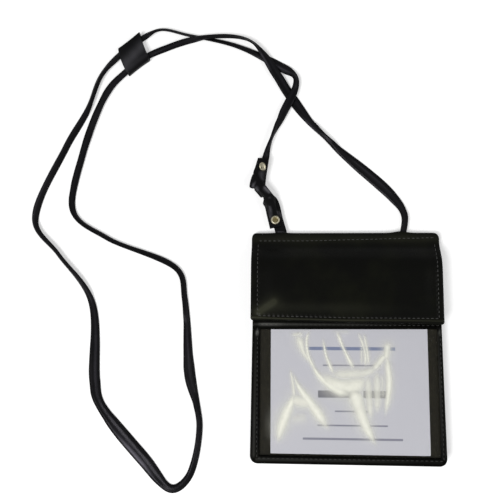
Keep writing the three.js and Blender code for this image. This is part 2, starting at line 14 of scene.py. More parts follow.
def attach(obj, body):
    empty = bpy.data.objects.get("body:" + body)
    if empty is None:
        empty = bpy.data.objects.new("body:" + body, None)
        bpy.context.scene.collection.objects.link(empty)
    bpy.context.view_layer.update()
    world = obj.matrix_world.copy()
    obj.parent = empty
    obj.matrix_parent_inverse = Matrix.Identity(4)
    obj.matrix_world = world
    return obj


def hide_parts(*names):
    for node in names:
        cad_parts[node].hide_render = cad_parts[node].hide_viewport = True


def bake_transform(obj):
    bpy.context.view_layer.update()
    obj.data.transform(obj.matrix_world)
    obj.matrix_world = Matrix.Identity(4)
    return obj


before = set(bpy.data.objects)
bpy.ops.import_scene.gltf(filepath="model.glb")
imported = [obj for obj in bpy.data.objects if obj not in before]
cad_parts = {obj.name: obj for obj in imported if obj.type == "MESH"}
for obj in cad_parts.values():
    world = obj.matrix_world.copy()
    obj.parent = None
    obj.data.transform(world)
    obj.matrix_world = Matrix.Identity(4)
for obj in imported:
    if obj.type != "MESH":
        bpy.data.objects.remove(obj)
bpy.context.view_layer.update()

# %% [markdown]
# Sizes are easiest to think about in millimetres, while Blender works in metres. One factor turns the one
# into the other, and only the functions that make meshes use it.
# %% Units
MM = 0.001


def metres(points):
    return np.asarray(points, float) * MM


# %% [markdown]
# ## Camera
# The picture is taken from almost straight above, with a 50 mm lens half a metre over the table. The camera
# is written as the three directions of its own axes, which makes a small tilt easy to read.
# %% Camera
camera_place = (-36.4, -2.0, 497.7)
camera_right = Vector((0.998, 0.0077, -0.0623))
camera_back = Vector((0.0628, -0.1396, 0.9882)).normalized()
camera_up = camera_back.cross(camera_right).normalized()
camera_right = camera_up.cross(camera_back)
camera_data = bpy.data.cameras.new("camera")
camera_data.lens = 50
camera_data.sensor_width = 36
camera = bpy.data.objects.new("camera", camera_data)
bpy.context.scene.collection.objects.link(camera)
turn = Matrix((camera_right, camera_up, camera_back)).transposed().to_4x4()
camera.matrix_world = Matrix.Translation(Vector(camera_place) * MM) @ turn
bpy.context.scene.camera = camera
print("camera height in metres:", round(camera.matrix_world.translation.z, 3))

# %% [markdown]
# ## Making meshes
# Nearly every piece of a leather article is a sheet: wide, thin, and finished round its edges. So one helper
# takes a grid of points for the outside and one for the inside, and closes the two with a wall all round.
# Squares can be left out of the grid, which gives a frame its window.
#
# A mesh also carries numbers for its material to read. Every mesh keeps where its points are at rest, so that
# the grain stays with the leather when a piece moves or bends.
# %% Mesh helpers


def keep_places(piece, name, points):
    """Keeps one place for each point of a mesh, for its material to read."""
    attribute = piece.data.attributes.new(name, "FLOAT_VECTOR", "POINT")
    attribute.data.foreach_set("vector", metres(points).astype(np.float32).ravel())


def mark(piece, name, values):
    """Keeps one number from 0 to 1 for each point of a mesh, for its material to read."""
    attribute = piece.data.attributes.new(name, "FLOAT", "POINT")
    attribute.data.foreach_set("value", np.clip(np.asarray(values, float), 0, 1).astype(np.float32).ravel())


def make_mesh(name, points, faces):
    mesh = bpy.data.meshes.new(name)
    mesh.from_pydata([tuple(p) for p in metres(points)], [], [tuple(f) for f in faces])
    mesh.validate()
    mesh.polygons.foreach_set("use_smooth", [True] * len(mesh.polygons))
    mesh.update()
    piece = bpy.data.objects.new(name, mesh)
    bpy.context.scene.collection.objects.link(piece)
    keep_places(piece, "rest", points)
    return piece


def closed_sheet(name, outside, inside, keep=None):
    """A sheet between two grids of points; keep says which squares of the grid are there."""
    rows, columns = outside.shape[:2]
    size = rows * columns
    number = np.arange(size).reshape(rows, columns)
    quads = [(number[j, i], number[j, i + 1], number[j + 1, i + 1], number[j + 1, i])
             for j in range(rows - 1) for i in range(columns - 1) if keep is None or keep[j, i]]
    edges = dict.fromkeys((a, b) for quad in quads for a, b in zip(quad, quad[1:] + quad[:1]))
    walls = [(b, a, a + size, b + size) for a, b in edges if (b, a) not in edges]
    under = [tuple(v + size for v in reversed(quad)) for quad in quads]
    points = np.concatenate([outside.reshape(-1, 3), inside.reshape(-1, 3)])
    used = sorted({v for face in quads + under for v in face})
    renumber = {v: k for k, v in enumerate(used)}
    return make_mesh(name, points[used], [[renumber[v] for v in face] for face in quads + under + walls])


print("helpers for sheets are ready")

# %% [markdown]
# ## The neck strap
# The strap is a strip of leather about 9 mm wide, folded in half along its length, so that it is mostly 5 mm wide
# and a little under 2 mm thick. Where the fold opens it lies wider and thinner, and where it stands on its edge
# it looks narrow. A plain curve with a bevel would keep one section throughout, so the strap is a mesh tube
# instead: a section is carried along a smooth line, and it is widened, thinned and tipped on the way.
#
# The line goes through points that follow the strap from the upper tab, round both loops and into the hem. They
# are the points of the solid strap. It hops over itself at the crossings in long low humps, and it runs straight
# through the keeper, whose place is needed for that.
# %% Route of the strap
FLOOR_Z = 1.2
OVER_Z = 3.5
KEEPER_Z = 2.4
STRAND_SPACING = 14.0
keeper_middle, keeper_angle = np.array([-157.0, 218.2]), math.radians(38)
keeper_along = np.array([math.cos(keeper_angle), math.sin(keeper_angle)])
keeper_across = np.array([-keeper_along[1], keeper_along[0]])


def in_keeper(along, strand):
    return (*(keeper_middle + keeper_along * along + keeper_across * strand * STRAND_SPACING / 2), KEEPER_Z)


strap_route = metres([
    (-58.1, 131.83, 3.2), (-52.7, 149.6, 2.8), (-44.7, 168.7, OVER_Z), (-34.3, 196.1, OVER_Z), (-47.8, 208.0, 1.4),
    (-79.2, 223.9, 1.3), (-115.9, 232.9, 1.3), (-138.0, 237.5, 1.8), in_keeper(10, 1), in_keeper(-9, 1),
    (-182.2, 202.0, 1.8), (-192.1, 175.0, FLOOR_Z), (-207.4, 146.1, FLOOR_Z), (-228.0, 89.7, FLOOR_Z),
    (-209.1, 64.8, FLOOR_Z), (-183.3, 31.0, FLOOR_Z), (-178.7, -25.5, FLOOR_Z), (-175.2, -40.5, FLOOR_Z),
    (-141.5, -80.1, FLOOR_Z), (-121.3, -99.5, FLOOR_Z), (-110.1, -91.9, FLOOR_Z), (-102.2, -56.8, FLOOR_Z),
    (-110.2, -20.9, FLOOR_Z), (-114.5, 33.0, FLOOR_Z), (-119.6, 53.2, FLOOR_Z), (-172.9, 77.3, FLOOR_Z),
    (-198.9, 96.8, FLOOR_Z), (-194.1, 141.3, 1.7), (-176.8, 189.4, 2.3), in_keeper(-15, -1), in_keeper(5, -1),
    (-133.8, 221.7, 2.9), (-102.4, 230.4, OVER_Z), (-68.6, 226.2, OVER_Z), (-48.7, 199.8, 3.2), (-41.0, 187.4, 1.6),
    (-19.0, 157.5, 1.3), (34.6, 107.3, 1.3), (42.6, 94.3, 1.9), (40.6, 75.6, 2.5),
])


def smooth_line(points, step):
    """A line through the points, with knots spaced by the root of the distance, cut into even steps."""
    points = np.asarray(points, float)
    ends = np.vstack([2 * points[0] - points[1], points, 2 * points[-1] - points[-2]])
    line = []
    for before, start, end, after in zip(ends, ends[1:], ends[2:], ends[3:]):
        d0, d1, d2 = (math.sqrt(np.linalg.norm(b - a)) for a, b in ((before, start), (start, end), (end, after)))
        leave = ((start - before) / d0 - (end - before) / (d0 + d1) + (end - start) / d1) * d1
        arrive = ((end - start) / d1 - (after - start) / (d1 + d2) + (after - end) / d2) * d1
        for t in np.linspace(0, 1, 40, endpoint=False):
            line.append(start + leave * t + (3 * (end - start) - 2 * leave - arrive) * t ** 2
                        + (2 * (start - end) + leave + arrive) * t ** 3)
    line = np.array(line + [points[-1]])
    run = np.concatenate([[0], np.cumsum(np.linalg.norm(np.diff(line, axis=0), axis=1))])
    even = np.linspace(0, run[-1], int(run[-1] / step) + 1)
    return np.column_stack([np.interp(even, run, line[:, k]) for k in range(line.shape[1])]), even


STRAP_STEP = 1.2
strap_line, strap_run = smooth_line(strap_route / MM, STRAP_STEP)
print("strap length in mm:", round(strap_run[-1], 1))

# %% [markdown]
# Shapes here often fade in and out along a line. Two small functions give such soft steps for numbers and for
# whole grids alike.
# %% Soft steps


def ramp(value, low, high):
    """0 below low, 1 above high, and a soft step between."""
    t = np.clip((np.asarray(value, float) - low) / (high - low), 0, 1)
    return t * t * (3 - 2 * t)


def plateau(value, low, low_end, high_start, high):
    """1 from low_end to high_start, with a soft step down to 0 on either side."""
    return ramp(value, low, low_end) * (1 - ramp(value, high_start, high))


print("halfway up a soft step:", ramp(0.5, 0, 1))

# %% [markdown]
# The widths are what is seen from above, as distance along the strap and width in millimetres. Leather keeps its
# amount of material, so a wide stretch is thin. A stretch that looks narrower than the folded strap stands on
# its edge: its section is an oval, and the angle at which the oval looks that narrow follows from its two
# axes. The side to which it tips changes once, where the strap comes back over the crossing.
# %% Width and tip of the strap
strap_widths = np.array([
    (0, 5.2), (5, 5.0), (12, 2.8), (20, 1.4), (26, 2.6), (32, 4.1), (40, 5.7), (50, 6.3), (60, 4.9), (69, 3.6),
    (73, 4.2), (80, 6.8), (88, 6.6), (106, 4.6), (120, 3.9), (140, 3.3), (164, 2.5), (177, 2.5), (184, 2.7), (191, 3.3),
    (200, 4.3),
    (227, 4.3), (244, 3.9), (253, 4.0), (260, 3.7), (268, 4.4), (279, 4.9), (288, 5.2), (304, 4.9), (321, 5.1),
    (337, 4.9), (352, 5.4), (360, 4.9), (370, 3.9), (377, 3.4), (393, 2.9), (409, 3.0), (425, 3.9), (437, 4.6),
    (449, 5.4), (464, 6.3), (472, 7.0), (489, 7.7), (503, 7.5), (513, 6.6), (521, 7.1), (529, 8.6), (540, 9.3),
    (561, 9.3), (569, 8.8), (577, 7.9), (585, 5.9), (594, 5.3), (602, 4.9), (618, 4.3), (630, 3.9), (651, 3.8),
    (658, 4.5), (666, 6.3), (674, 7.7), (683, 7.8), (691, 6.6), (707, 5.4), (720, 4.3), (735, 3.6), (755, 3.6),
    (767, 4.2), (779, 3.7), (795, 2.9), (819, 3.2), (840, 3.0), (852, 4.1), (868, 5.1), (892, 4.9), (904, 5.4),
    (924, 5.1), (932, 4.6), (942, 5.3), (960, 4.6), (987, 4.6), (1004, 3.9), (1012, 4.3), (1035, 3.6), (1044, 3.8),
    (1056, 3.0), (1066, 2.1), (1070, 2.2), (1076, 3.9), (1083, 5.6), (1091, 6.4), (1115, 7.0), (1123, 7.3),
    (1131, 6.6), (1140, 5.1), (1147, 4.0), (1156, 2.7), (1164, 3.6), (1171, 4.9), (1179, 6.0), (1187, 7.0), (1195, 7.6),
    (1212, 7.9), (1220, 7.3), (1228, 6.3), (1235, 4.8), (1243, 3.9), (1257, 3.9),
])
FOLDED_WIDTH = 5.0
FOLDED_THICK = 1.8
BLURRED_EDGES = 0.4  # what a measured width loses at its two soft edges
NARROWING = 0.3      # how much of a narrower look is a real narrowing, and not the strap's tip
KEEPER_RUNS = ((196, 226), (948, 980))
TIP_TURNS = ([0, 1012, 1030, 1078, 1092, 1260], [1, 1, -1, -1, 1, 1])


def smoothed(values):
    """Evens out a row of numbers over nine steps."""
    window = np.hanning(9) / np.hanning(9).sum()
    return np.convolve(np.pad(values, 4, mode="edge"), window, mode="valid")


seen_width = smoothed(np.interp(strap_run, strap_widths[:, 0], strap_widths[:, 1]) + BLURRED_EDGES)
narrowed = (1 - NARROWING) * FOLDED_WIDTH + NARROWING * seen_width
flat_width = np.where(seen_width > FOLDED_WIDTH, seen_width, narrowed)
thick_here = np.minimum(FOLDED_WIDTH * FOLDED_THICK / flat_width, np.minimum(FOLDED_THICK, seen_width * 0.95))
leaning = (seen_width ** 2 - thick_here ** 2) / (flat_width ** 2 - thick_here ** 2)
tip = np.arccos(np.sqrt(np.clip(leaning, 0, 1)))
for first, last in KEEPER_RUNS:
    tip = tip * (1 - plateau(strap_run, first - 8, first, last, last + 8))
tip = smoothed(tip * np.interp(strap_run, *TIP_TURNS))
print("steepest tip in degrees:", round(math.degrees(np.abs(tip).max())))

# %% [markdown]
# The folded section has one soft ridge on top, which wanders from side to side. Where the fold opens, the two
# halves rise a little on either side of the old fold line. A groove in one edge parts the two layers.
# %% Section of the strap
TOP_SHARES = np.linspace(0.90, -0.90, 13)


def strap_section(ridge, opened):
    """Outline of the section, from -1 to 1 across and from 0 to 1 up."""
    folded = 0.72 + 0.28 * np.exp(-((TOP_SHARES - ridge) / 0.46) ** 2)
    left_half = 0.38 * np.exp(-((TOP_SHARES + 0.52) / 0.28) ** 2)
    right_half = 0.32 * np.exp(-((TOP_SHARES - 0.44) / 0.24) ** 2)
    height = folded + (0.60 + left_half + right_half - folded) * opened
    height = height - 0.22 * np.abs(TOP_SHARES / 0.9) ** 6
    seam = 0.20 * (1 - opened)
    edge = [(-1.0, 0.30), (-0.92, 0.06), (-0.45, 0.05), (0.0, 0.08), (0.45, 0.05), (0.92, 0.04), (1.0, 0.20),
            (0.97 - seam, 0.34), (0.99, 0.44)]
    return np.array([*zip(TOP_SHARES, height), *edge])


def tipped_section(width, thick, lean, ridge, opened):
    """The section in millimetres, across and up, turned by its tip."""
    outline = strap_section(ridge, opened)
    wide, high = outline[:, 0] * width / 2, (outline[:, 1] - 0.5) * thick
    return wide * math.cos(lean) - high * math.sin(lean), wide * math.sin(lean) + high * math.cos(lean)


ridge_here = 0.42 * np.sin(strap_run / 47.0 + 0.8) * np.cos(strap_run / 113.0)
open_here = ramp(seen_width, 5.6, 7.6)
sections = [tipped_section(*numbers) for numbers in zip(flat_width, thick_here, tip, ridge_here, open_here)]
print("points round the section:", len(strap_section(0, 0)))

# %% [markdown]
# Each section is set upright across the line, and the line is lifted so that the lowest point of the section
# keeps the height of the route.
# %% Mesh of the strap
heading = np.gradient(strap_line, axis=0)
heading /= np.linalg.norm(heading, axis=1, keepdims=True)
across = np.cross(np.array([0, 0, 1.0]), heading)
across /= np.linalg.norm(across, axis=1, keepdims=True)
above = np.cross(heading, across)
strap_centre = strap_line.copy()
strap_centre[:, 2] += 0.05 - FLOOR_Z - np.array([high.min() for _, high in sections])
rings = [centre + np.outer(wide, side) + np.outer(high, up)
         for centre, side, up, (wide, high) in zip(strap_centre, across, above, sections)]
per_ring = len(rings[0])
last_ring = (len(rings) - 1) * per_ring
strap_faces = []
for r in range(len(rings) - 1):
    for k in range(per_ring):
        a, b = r * per_ring + k, r * per_ring + (k + 1) % per_ring
        strap_faces.append((a, a + per_ring, b + per_ring, b))
strap_faces.append(tuple(range(per_ring)))
strap_faces.append(tuple(last_ring + k for k in reversed(range(per_ring))))
neck_strap = make_mesh("strap_leather", np.concatenate(rings), [tuple(reversed(face)) for face in strap_faces])
keep_places(neck_strap, "lengthwise", [(run, share * 3, 0.0) for run in strap_run for share, _ in strap_section(0, 0)])
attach(neck_strap, "holder")
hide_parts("neck_strap")
print("strap faces:", len(strap_faces))

# %% [markdown]
# The strap's highlights are painted into its colour, on its top only: a faint pale line on its ridge and pale streaks
# where it lies open. Each streak is given by its distance along the strap, its half length, its side and how pale it
# is.
# %% Painted highlights of the strap
strap_highlight_streaks = (
    (85, 9, 0.3, 0.35), (482, 24, 0.22, 0.12), (557, 13, -0.5, 1.5), (548, 20, 0.15, 0.15), (693, 20, 0.0, 0.14),
    (1083, 8, -0.6, 0.45), (1146, 9, -0.6, 0.4), (1200, 16, 0.2, 0.15), (350, 22, -0.3, 0.10),
)


def strap_highlight_level(run, share, middle):
    """How bright the painted highlight on the top of the strap is at a distance along it and a share of its half width.
    """
    on_ridge = 0.05 * math.exp(-((share - middle) / 0.3) ** 2)
    return on_ridge + sum(level * math.exp(-((run - at) / half) ** 2 - ((share - side) / 0.2) ** 2)
                          for at, half, side, level in strap_highlight_streaks)


# Only the top of the strap takes these painted highlights.
mark(neck_strap, "painted_highlight", [
    (high > 0.5) * strap_highlight_level(run, share, middle)
    for run, middle, opened in zip(strap_run, ridge_here, open_here)
    for share, high in strap_section(0, opened)])
print("streaks on the strap:", len(strap_highlight_streaks))

# %% [markdown]
# ## Shader helper
# A material is a tree of nodes. Written as plain Python sums and products it stays readable, so one class wraps
# a socket and adds a Math node for each operation, and another adds any other node, with its settings first.
# What changes over a surface goes in by links. What is the same all over it is set on the shader itself.
# %% Shader helper


class Signal:
    """A socket that can be used in sums and products; each operation adds a Math node."""

    def __init__(self, finish, socket):
        self.finish = finish
        self.socket = socket

    def combine(self, operation, first, second=0.0):
        return self.finish.node("ShaderNodeMath", {"operation": operation}, {0: first, 1: second})

    def __add__(self, other):
        return self.combine("ADD", self, other)

    def __radd__(self, other):
        return self.combine("ADD", other, self)

    def __sub__(self, other):
        return self.combine("SUBTRACT", self, other)

    def __rsub__(self, other):
        return self.combine("SUBTRACT", other, self)

    def __mul__(self, other):
        return self.combine("MULTIPLY", self, other)

    def __rmul__(self, other):
        return self.combine("MULTIPLY", other, self)

    def __abs__(self):
        return self.combine("ABSOLUTE", self)

    def above(self, low, high):
        """0 below low, 1 above high, and a soft step between."""
        settings = {"interpolation_type": "SMOOTHSTEP"}
        return self.finish.node("ShaderNodeMapRange", settings, {0: self, 1: low, 2: high, 3: 0.0, 4: 1.0})


class Nodes:
    """A tree of nodes, and one method that adds any node to it."""

    def __init__(self, tree):
        self.tree = tree

    def node(self, kind, settings=None, inputs=None, output=0):
        made = self.tree.nodes.new(kind)
        for label, value in (settings or {}).items():
            setattr(made, label, value)
        for label, value in (inputs or {}).items():
            self.feed(made.inputs[label], value)
        return Signal(self, made.outputs[output])

    def feed(self, socket, value):
        if isinstance(value, Signal):
            self.tree.links.new(value.socket, socket)
        else:
            socket.default_value = value

    def seen_directly(self):
        """1 for what the camera sees, also in a mirror or through glass, and 0 for light that falls on things."""
        rays = self.node("ShaderNodeLightPath").socket.node.outputs
        camera_ray, mirror_ray, clear_ray = (
            Signal(self, rays[label]) for label in ("Is Camera Ray", "Is Glossy Ray", "Is Transmission Ray"))
        return (camera_ray + mirror_ray + clear_ray).above(0.0, 1.0)


class Finish(Nodes):
    """One material: its shader's constants, and what the finishes here have in common."""

    def __init__(self, name, **constants):
        self.material = bpy.data.materials.new(name)
        self.material.use_nodes = True
        super().__init__(self.material.node_tree)
        self.shader = self.tree.nodes["Principled BSDF"]
        for label, value in constants.items():
            self.shader.inputs[label.replace("_", " ")].default_value = value

    def set(self, label, value):
        self.feed(self.shader.inputs[label], value)

    def rest(self):
        """Where a point is in the part at rest, in metres, whatever the pose."""
        return self.node("ShaderNodeAttribute", {"attribute_name": "rest"}, output="Vector")

    def noise(self, place, scale, detail=3.0, roughness=0.5):
        return self.node("ShaderNodeTexNoise", {}, {
            "Vector": place, "Scale": scale, "Detail": detail, "Roughness": roughness})

    def blend(self, factor, first, second):
        """A colour between two others. The numbers are the places of the node's sockets for colours."""
        return self.node("ShaderNodeMix", {"data_type": "RGBA"}, {0: factor, 6: first, 7: second}, 2)

    def bump(self, height, strength, distance):
        normal = self.node("ShaderNodeBump", {}, {"Height": height, "Strength": strength, "Distance": distance})
        self.set("Normal", normal)


print("shader helper is ready")

# %% [markdown]
# ## Floor and light
# The object lies on plain white. The floor is a pale matt sheet that still takes the object's soft shadow, and
# the glow that makes it white reaches only the camera, mirrors and clear things. The glow grows where the sheet
# runs out of the lamps' reach, so that it meets the white world.
#
# Two large lamps stand high at opposite corners, so that flat black leather stays dark, its rolled edges fall
# off to black, and the slopes between them catch the light.
# %% Floor
FLOOR_HALF = 1.4
GLOW_NEAR, GLOW_MORE = 0.42, 0.5
floor_square = np.array([(-1, -1, 0), (1, -1, 0), (1, 1, 0), (-1, 1, 0)])
floor = make_mesh("floor", floor_square * FLOOR_HALF / MM, [(0, 1, 2, 3)])
floor.location.z = -0.0002
floor_finish = Finish("white_paper", Base_Color=(0.82, 0.82, 0.82, 1), Roughness=0.9, Specular_IOR_Level=0.1)
floor_place = floor_finish.node("ShaderNodeNewGeometry", {}, {}, "Position")
far_out = floor_finish.node("ShaderNodeVectorMath", {"operation": "LENGTH"}, {0: floor_place}, "Value").above(0.3, 0.8)
dark = floor_finish.node("ShaderNodeEmission", {}, {"Strength": 0.0})
glow = floor_finish.node("ShaderNodeEmission", {}, {"Strength": 1.0})
glow_seen = floor_finish.node("ShaderNodeMixShader", {}, {
    0: floor_finish.seen_directly() * (GLOW_NEAR + GLOW_MORE * far_out), 1: dark, 2: glow})
lit = Signal(floor_finish, floor_finish.shader.outputs[0])
lit_and_glowing = floor_finish.node("ShaderNodeAddShader", {}, {0: lit, 1: glow_seen})
floor_finish.feed(floor_finish.tree.nodes["Material Output"].inputs[0], lit_and_glowing)
floor.data.materials.append(floor_finish.material)
print("floor is", 2 * FLOOR_HALF, "m wide")

# %% World and lamps
WORLD_LIGHT = 0.12
LAMP_AIM = Vector((-0.03, 0.03, 0.0))
world = bpy.data.worlds.new("studio")
bpy.context.scene.world = world
world.use_nodes = True
background = world.node_tree.nodes["Background"]
background.inputs[0].default_value = (1, 1, 1, 1)
sky = Nodes(world.node_tree)
sky.feed(background.inputs[1], WORLD_LIGHT + (1 - WORLD_LIGHT) * sky.seen_directly())
bpy.context.scene.view_settings.view_transform = "Standard"


def lamp(name, place, size, power):
    data = bpy.data.lights.new(name, "AREA")
    data.shape = "RECTANGLE"
    data.size, data.size_y = size
    data.energy = power
    item = bpy.data.objects.new(name, data)
    bpy.context.scene.collection.objects.link(item)
    item.location = place
    item.rotation_euler = (LAMP_AIM - Vector(place)).to_track_quat("-Z", "Y").to_euler()


lamp("key_softbox", (-0.75, -0.65, 1.35), (0.7, 0.7), 21.3)
lamp("fill_softbox", (1.2, -0.3, 1.0), (1.0, 1.0), 9.5)

# %% [markdown]
# ## Black leather
# The leather is a smooth, coated black one: almost no grain, a soft olive cast in its blacks, and a gloss that is a
# little uneven. The grain is a fine cell pattern used as bump, much weaker than on a bag. Where a mesh is marked, the
# leather turns to a paler grey: these marks are painted highlights and sheen, put where light catches the leather.
#
# The same function makes every leather here. The strap's and the tabs' are a cooler black, the border's is
# deeper, and cut or folded edges have hardly any shine. The strap also has fine creases along its length.
# %% Leather finish


def leather(name, deep=(0.0013, 0.0014, 0.0009), worn=(0.0042, 0.0046, 0.0022), painted_highlight=(0.030, 0.031, 0.020),
            gloss=0.29, shine=0.05):
    """Black leather: its two blacks, the colour of its painted highlights, its roughness and its specular level."""
    finish = Finish(name, Base_Color=(*deep, 1), Roughness=gloss, Specular_IOR_Level=shine)
    place = finish.rest()
    patches = finish.noise(place, 38.0, 4.0, 0.55)
    colour = finish.blend(patches.above(0.42, 0.78), (*deep, 1), (*worn, 1))
    # The mark read here paints highlights and sheen into the colour, as a paler grey.
    painted_highlight_here = finish.node("ShaderNodeAttribute", {"attribute_name": "painted_highlight"}, output="Fac")
    finish.set("Base Color", finish.blend(painted_highlight_here * (0.6 + 0.8 * patches), colour, (*painted_highlight, 1)))
    finish.set("Roughness", gloss + 0.16 * (finish.noise(place, 95.0, 3.0) - 0.5))
    cells = finish.node("ShaderNodeTexVoronoi", {"feature": "F1"}, {"Vector": place, "Scale": 1500.0})
    creases = finish.noise(place, 260.0, 4.0, 0.6)
    finish.bump(cells * 0.35 + creases, 0.22, 0.00022)
    return finish


black_leather = leather("black_leather")
edge_leather = leather("edge_leather", gloss=0.62, shine=0.02)
# The border's painted highlights are far paler, for the glints on its bead and its corners.
border_leather = leather("border_leather", deep=(0.0005, 0.0005, 0.0003), worn=(0.0024, 0.0026, 0.0014),
                         painted_highlight=(0.13, 0.13, 0.12), shine=0.025)
strap_leather = leather("strap_leather", deep=(0.0026, 0.0026, 0.0029), worn=(0.0074, 0.0072, 0.0080),
                        painted_highlight=(0.098, 0.093, 0.112), gloss=0.27, shine=0.06)
tab_leather = leather("tab_leather", deep=(0.0010, 0.0010, 0.0013), worn=(0.0045, 0.0045, 0.0050),
                      painted_highlight=(0.105, 0.103, 0.114), gloss=0.32, shine=0.06)
strap_leather.shader.inputs["Specular Tint"].default_value = (0.93, 0.90, 1.0, 1)
strap_place = strap_leather.node("ShaderNodeAttribute", {"attribute_name": "lengthwise"}, output="Vector")
strap_stretched = strap_leather.node("ShaderNodeVectorMath", {"operation": "MULTIPLY"}, {
    0: strap_place, 1: (0.12, 1, 1)})
strap_creases = strap_leather.noise(strap_stretched, 900.0, 3.0, 0.6)
strap_leather.bump(strap_creases + 0.25 * strap_leather.noise(strap_leather.rest(), 700.0, 3.0), 0.35, 0.0006)
neck_strap.data.materials.append(strap_leather.material)
print("leather finishes:", [m.name for m in bpy.data.materials if "leather" in m.name])

# %% [markdown]
# ## The flap and the hem
# One piece of leather covers the hem and goes on as the flap, so it is one continuous skin here. It is made as
# a grid: rows run from the turned lower edge, along the padded part and down the rise, to the back edge of the
# hem. Its sides roll down in the same way. The height of each point is the rise, plus the crown of the padding,
# less the valley that the thread pulls in.
#
# A real flap isn't cut quite square. Its lower edge runs a little downhill to the right, its lower row of
# stitches keeps away from the edge by a changing distance, and the hem's row climbs from the middle on.
# %% Lines of the flap
SKIN = 1.0
HALF_WIDTH = 66.5
HEM_TOP_Y = 80.0
HEM_TOP_Z = 5.0
FLAP_TOP_Z = 14.4
FLAP_ROOT_Y = 73.3
FLAP_EDGE_Y = 15.9
EDGE_SLANT = 2.45
HEM_STITCH_Y = 74.2
LEFT_STITCH_X, RIGHT_STITCH_X = -61.75, 62.84
HEM_STITCH_TURN = (-25.0, HEM_STITCH_Y)
HEM_STITCH_END = (RIGHT_STITCH_X, 76.3)
STITCH_PITCH = 3.2
rise_y = np.array([51.3, 55.26, 60.1, 64.94, 69.56, FLAP_ROOT_Y])
rise_z = np.array([FLAP_TOP_Z, 14.12, 12.9, 9.89, 6.5, HEM_TOP_Z])
rise_line, _ = smooth_line(np.column_stack([rise_y, rise_z, 0 * rise_y]), 0.4)


def flap_base(y):
    """Height of the flap along its middle, without padding or stitches."""
    level = np.interp(y, rise_line[:, 0], rise_line[:, 1])
    return np.where(y < rise_y[0], FLAP_TOP_Z, np.where(y > rise_y[-1], HEM_TOP_Z, level))


def hem_stitch_y(x):
    return np.interp(x, [HEM_STITCH_TURN[0], HEM_STITCH_END[0]], [HEM_STITCH_TURN[1], HEM_STITCH_END[1]])


def edge_stitch_up(x):
    """How far the lower row of stitches is from the lower edge."""
    return np.interp(x, [LEFT_STITCH_X, 0, RIGHT_STITCH_X], [3.3, 3.2, 4.1])


def lip_up(x):
    """How far over the lower edge the turned leather bends down."""
    return np.interp(x, [-60, -45, -2, 55], [1.9, 1.6, 1.4, 2.5])


def slant(x, y):
    """How far downhill the flap's slanted lower edge takes a point."""
    share = np.clip((FLAP_ROOT_Y - y) / (FLAP_ROOT_Y - FLAP_EDGE_Y), 0, 1)
    return EDGE_SLANT * share * x / (2 * HALF_WIDTH)


print("flap rises", FLAP_TOP_Z - HEM_TOP_Z, "mm over", round(rise_y[-1] - rise_y[0], 1), "mm")

# %% [markdown]
# Thread pulls leather in. Each row of stitches lies in a valley, and the valley is deepest at the needle holes.
# The padding swells between the rows, with a slow wave, because leather over foam is never quite even.
# %% Height of the flap
PAD_CROWN, PAD_WAVE = 1.0, 0.35
SIDE_ROW_DEEP, EDGE_ROW_DEEP, HEM_ROW_DEEP = 0.55, 0.6, 0.5
LIP_RAISED = 0.25


def valley(distance, half=0.9):
    """1 on a line, falling off smoothly to nearly 0 at twice the half width."""
    return np.exp(-(distance / half) ** 2)


def pucker(run):
    """Deeper at the needle holes than under the thread."""
    return 0.62 + 0.38 * np.cos(2 * np.pi * run / STITCH_PITCH)


def flap_height(x, y):
    """Height of the skin over the middle of the flap and hem, without its rolled edges."""
    padded = plateau(x, LEFT_STITCH_X, LEFT_STITCH_X + 12, RIGHT_STITCH_X - 12, RIGHT_STITCH_X)
    padded = padded * plateau(y, FLAP_EDGE_Y + 4, FLAP_EDGE_Y + 13, 56, 72)
    height = flap_base(y) + padded * (PAD_CROWN + PAD_WAVE * np.sin(x / 17 + 1.1) * np.sin(y / 13 + 0.4))
    side_rows = (valley(x - LEFT_STITCH_X) + valley(x - RIGHT_STITCH_X)) * pucker(y)
    height = height - SIDE_ROW_DEEP * side_rows * plateau(y, FLAP_EDGE_Y + 2.6, FLAP_EDGE_Y + 3.6, 71, 74)
    between = plateau(x, LEFT_STITCH_X - 1, LEFT_STITCH_X, RIGHT_STITCH_X, RIGHT_STITCH_X + 1) * pucker(x)
    height = height - EDGE_ROW_DEEP * valley(y - FLAP_EDGE_Y - edge_stitch_up(x)) * between
    height = height - HEM_ROW_DEEP * valley(y - hem_stitch_y(x), 0.8) * between
    return height + LIP_RAISED * valley(y - FLAP_EDGE_Y - lip_up(x) - 0.2, 0.8)


print("flap's highest point in mm:", round(float(flap_height(np.array(0.0), np.linspace(20, 50, 61)).max()), 2))

# %% [markdown]
# The grid of the skin has even squares in the middle. Towards each edge its lines crowd together, and every one
# of them has a distance from the edge and a drop, which together make the roll. The outermost line stands
# straight under the edge and goes down to where the skin is turned in.
# %% Grid of the flap
GRID = 0.8
TO_LIP = 9.0  # in place of a drop: down to where the skin is turned in
side_roll = np.array([(0.0, 1.35), (0.02, 0.95), (0.14, 0.6), (0.36, 0.33), (0.68, 0.13), (1.1, 0.03)])
lower_roll = np.array([(0.0, 1.5), (0.05, 1.1), (0.3, 0.75), (0.7, 0.42), (1.2, 0.17), (1.7, 0.04)])
turned_in = ([FLAP_EDGE_Y, 52, 60, 68, 73, HEM_TOP_Y], [2.65, 2.65, 2.6, 2.4, 3.85, 3.9])


def rolled(low, high, low_roll, high_roll, middle):
    """Stations from low to high with a roll at both ends, and the drop at each of them."""
    stations = np.concatenate([[low], low + low_roll[:, 0], middle, (high - high_roll[:, 0])[::-1], [high]])
    return stations, np.concatenate([[TO_LIP], low_roll[:, 1], 0 * middle, high_roll[::-1, 1], [TO_LIP]])


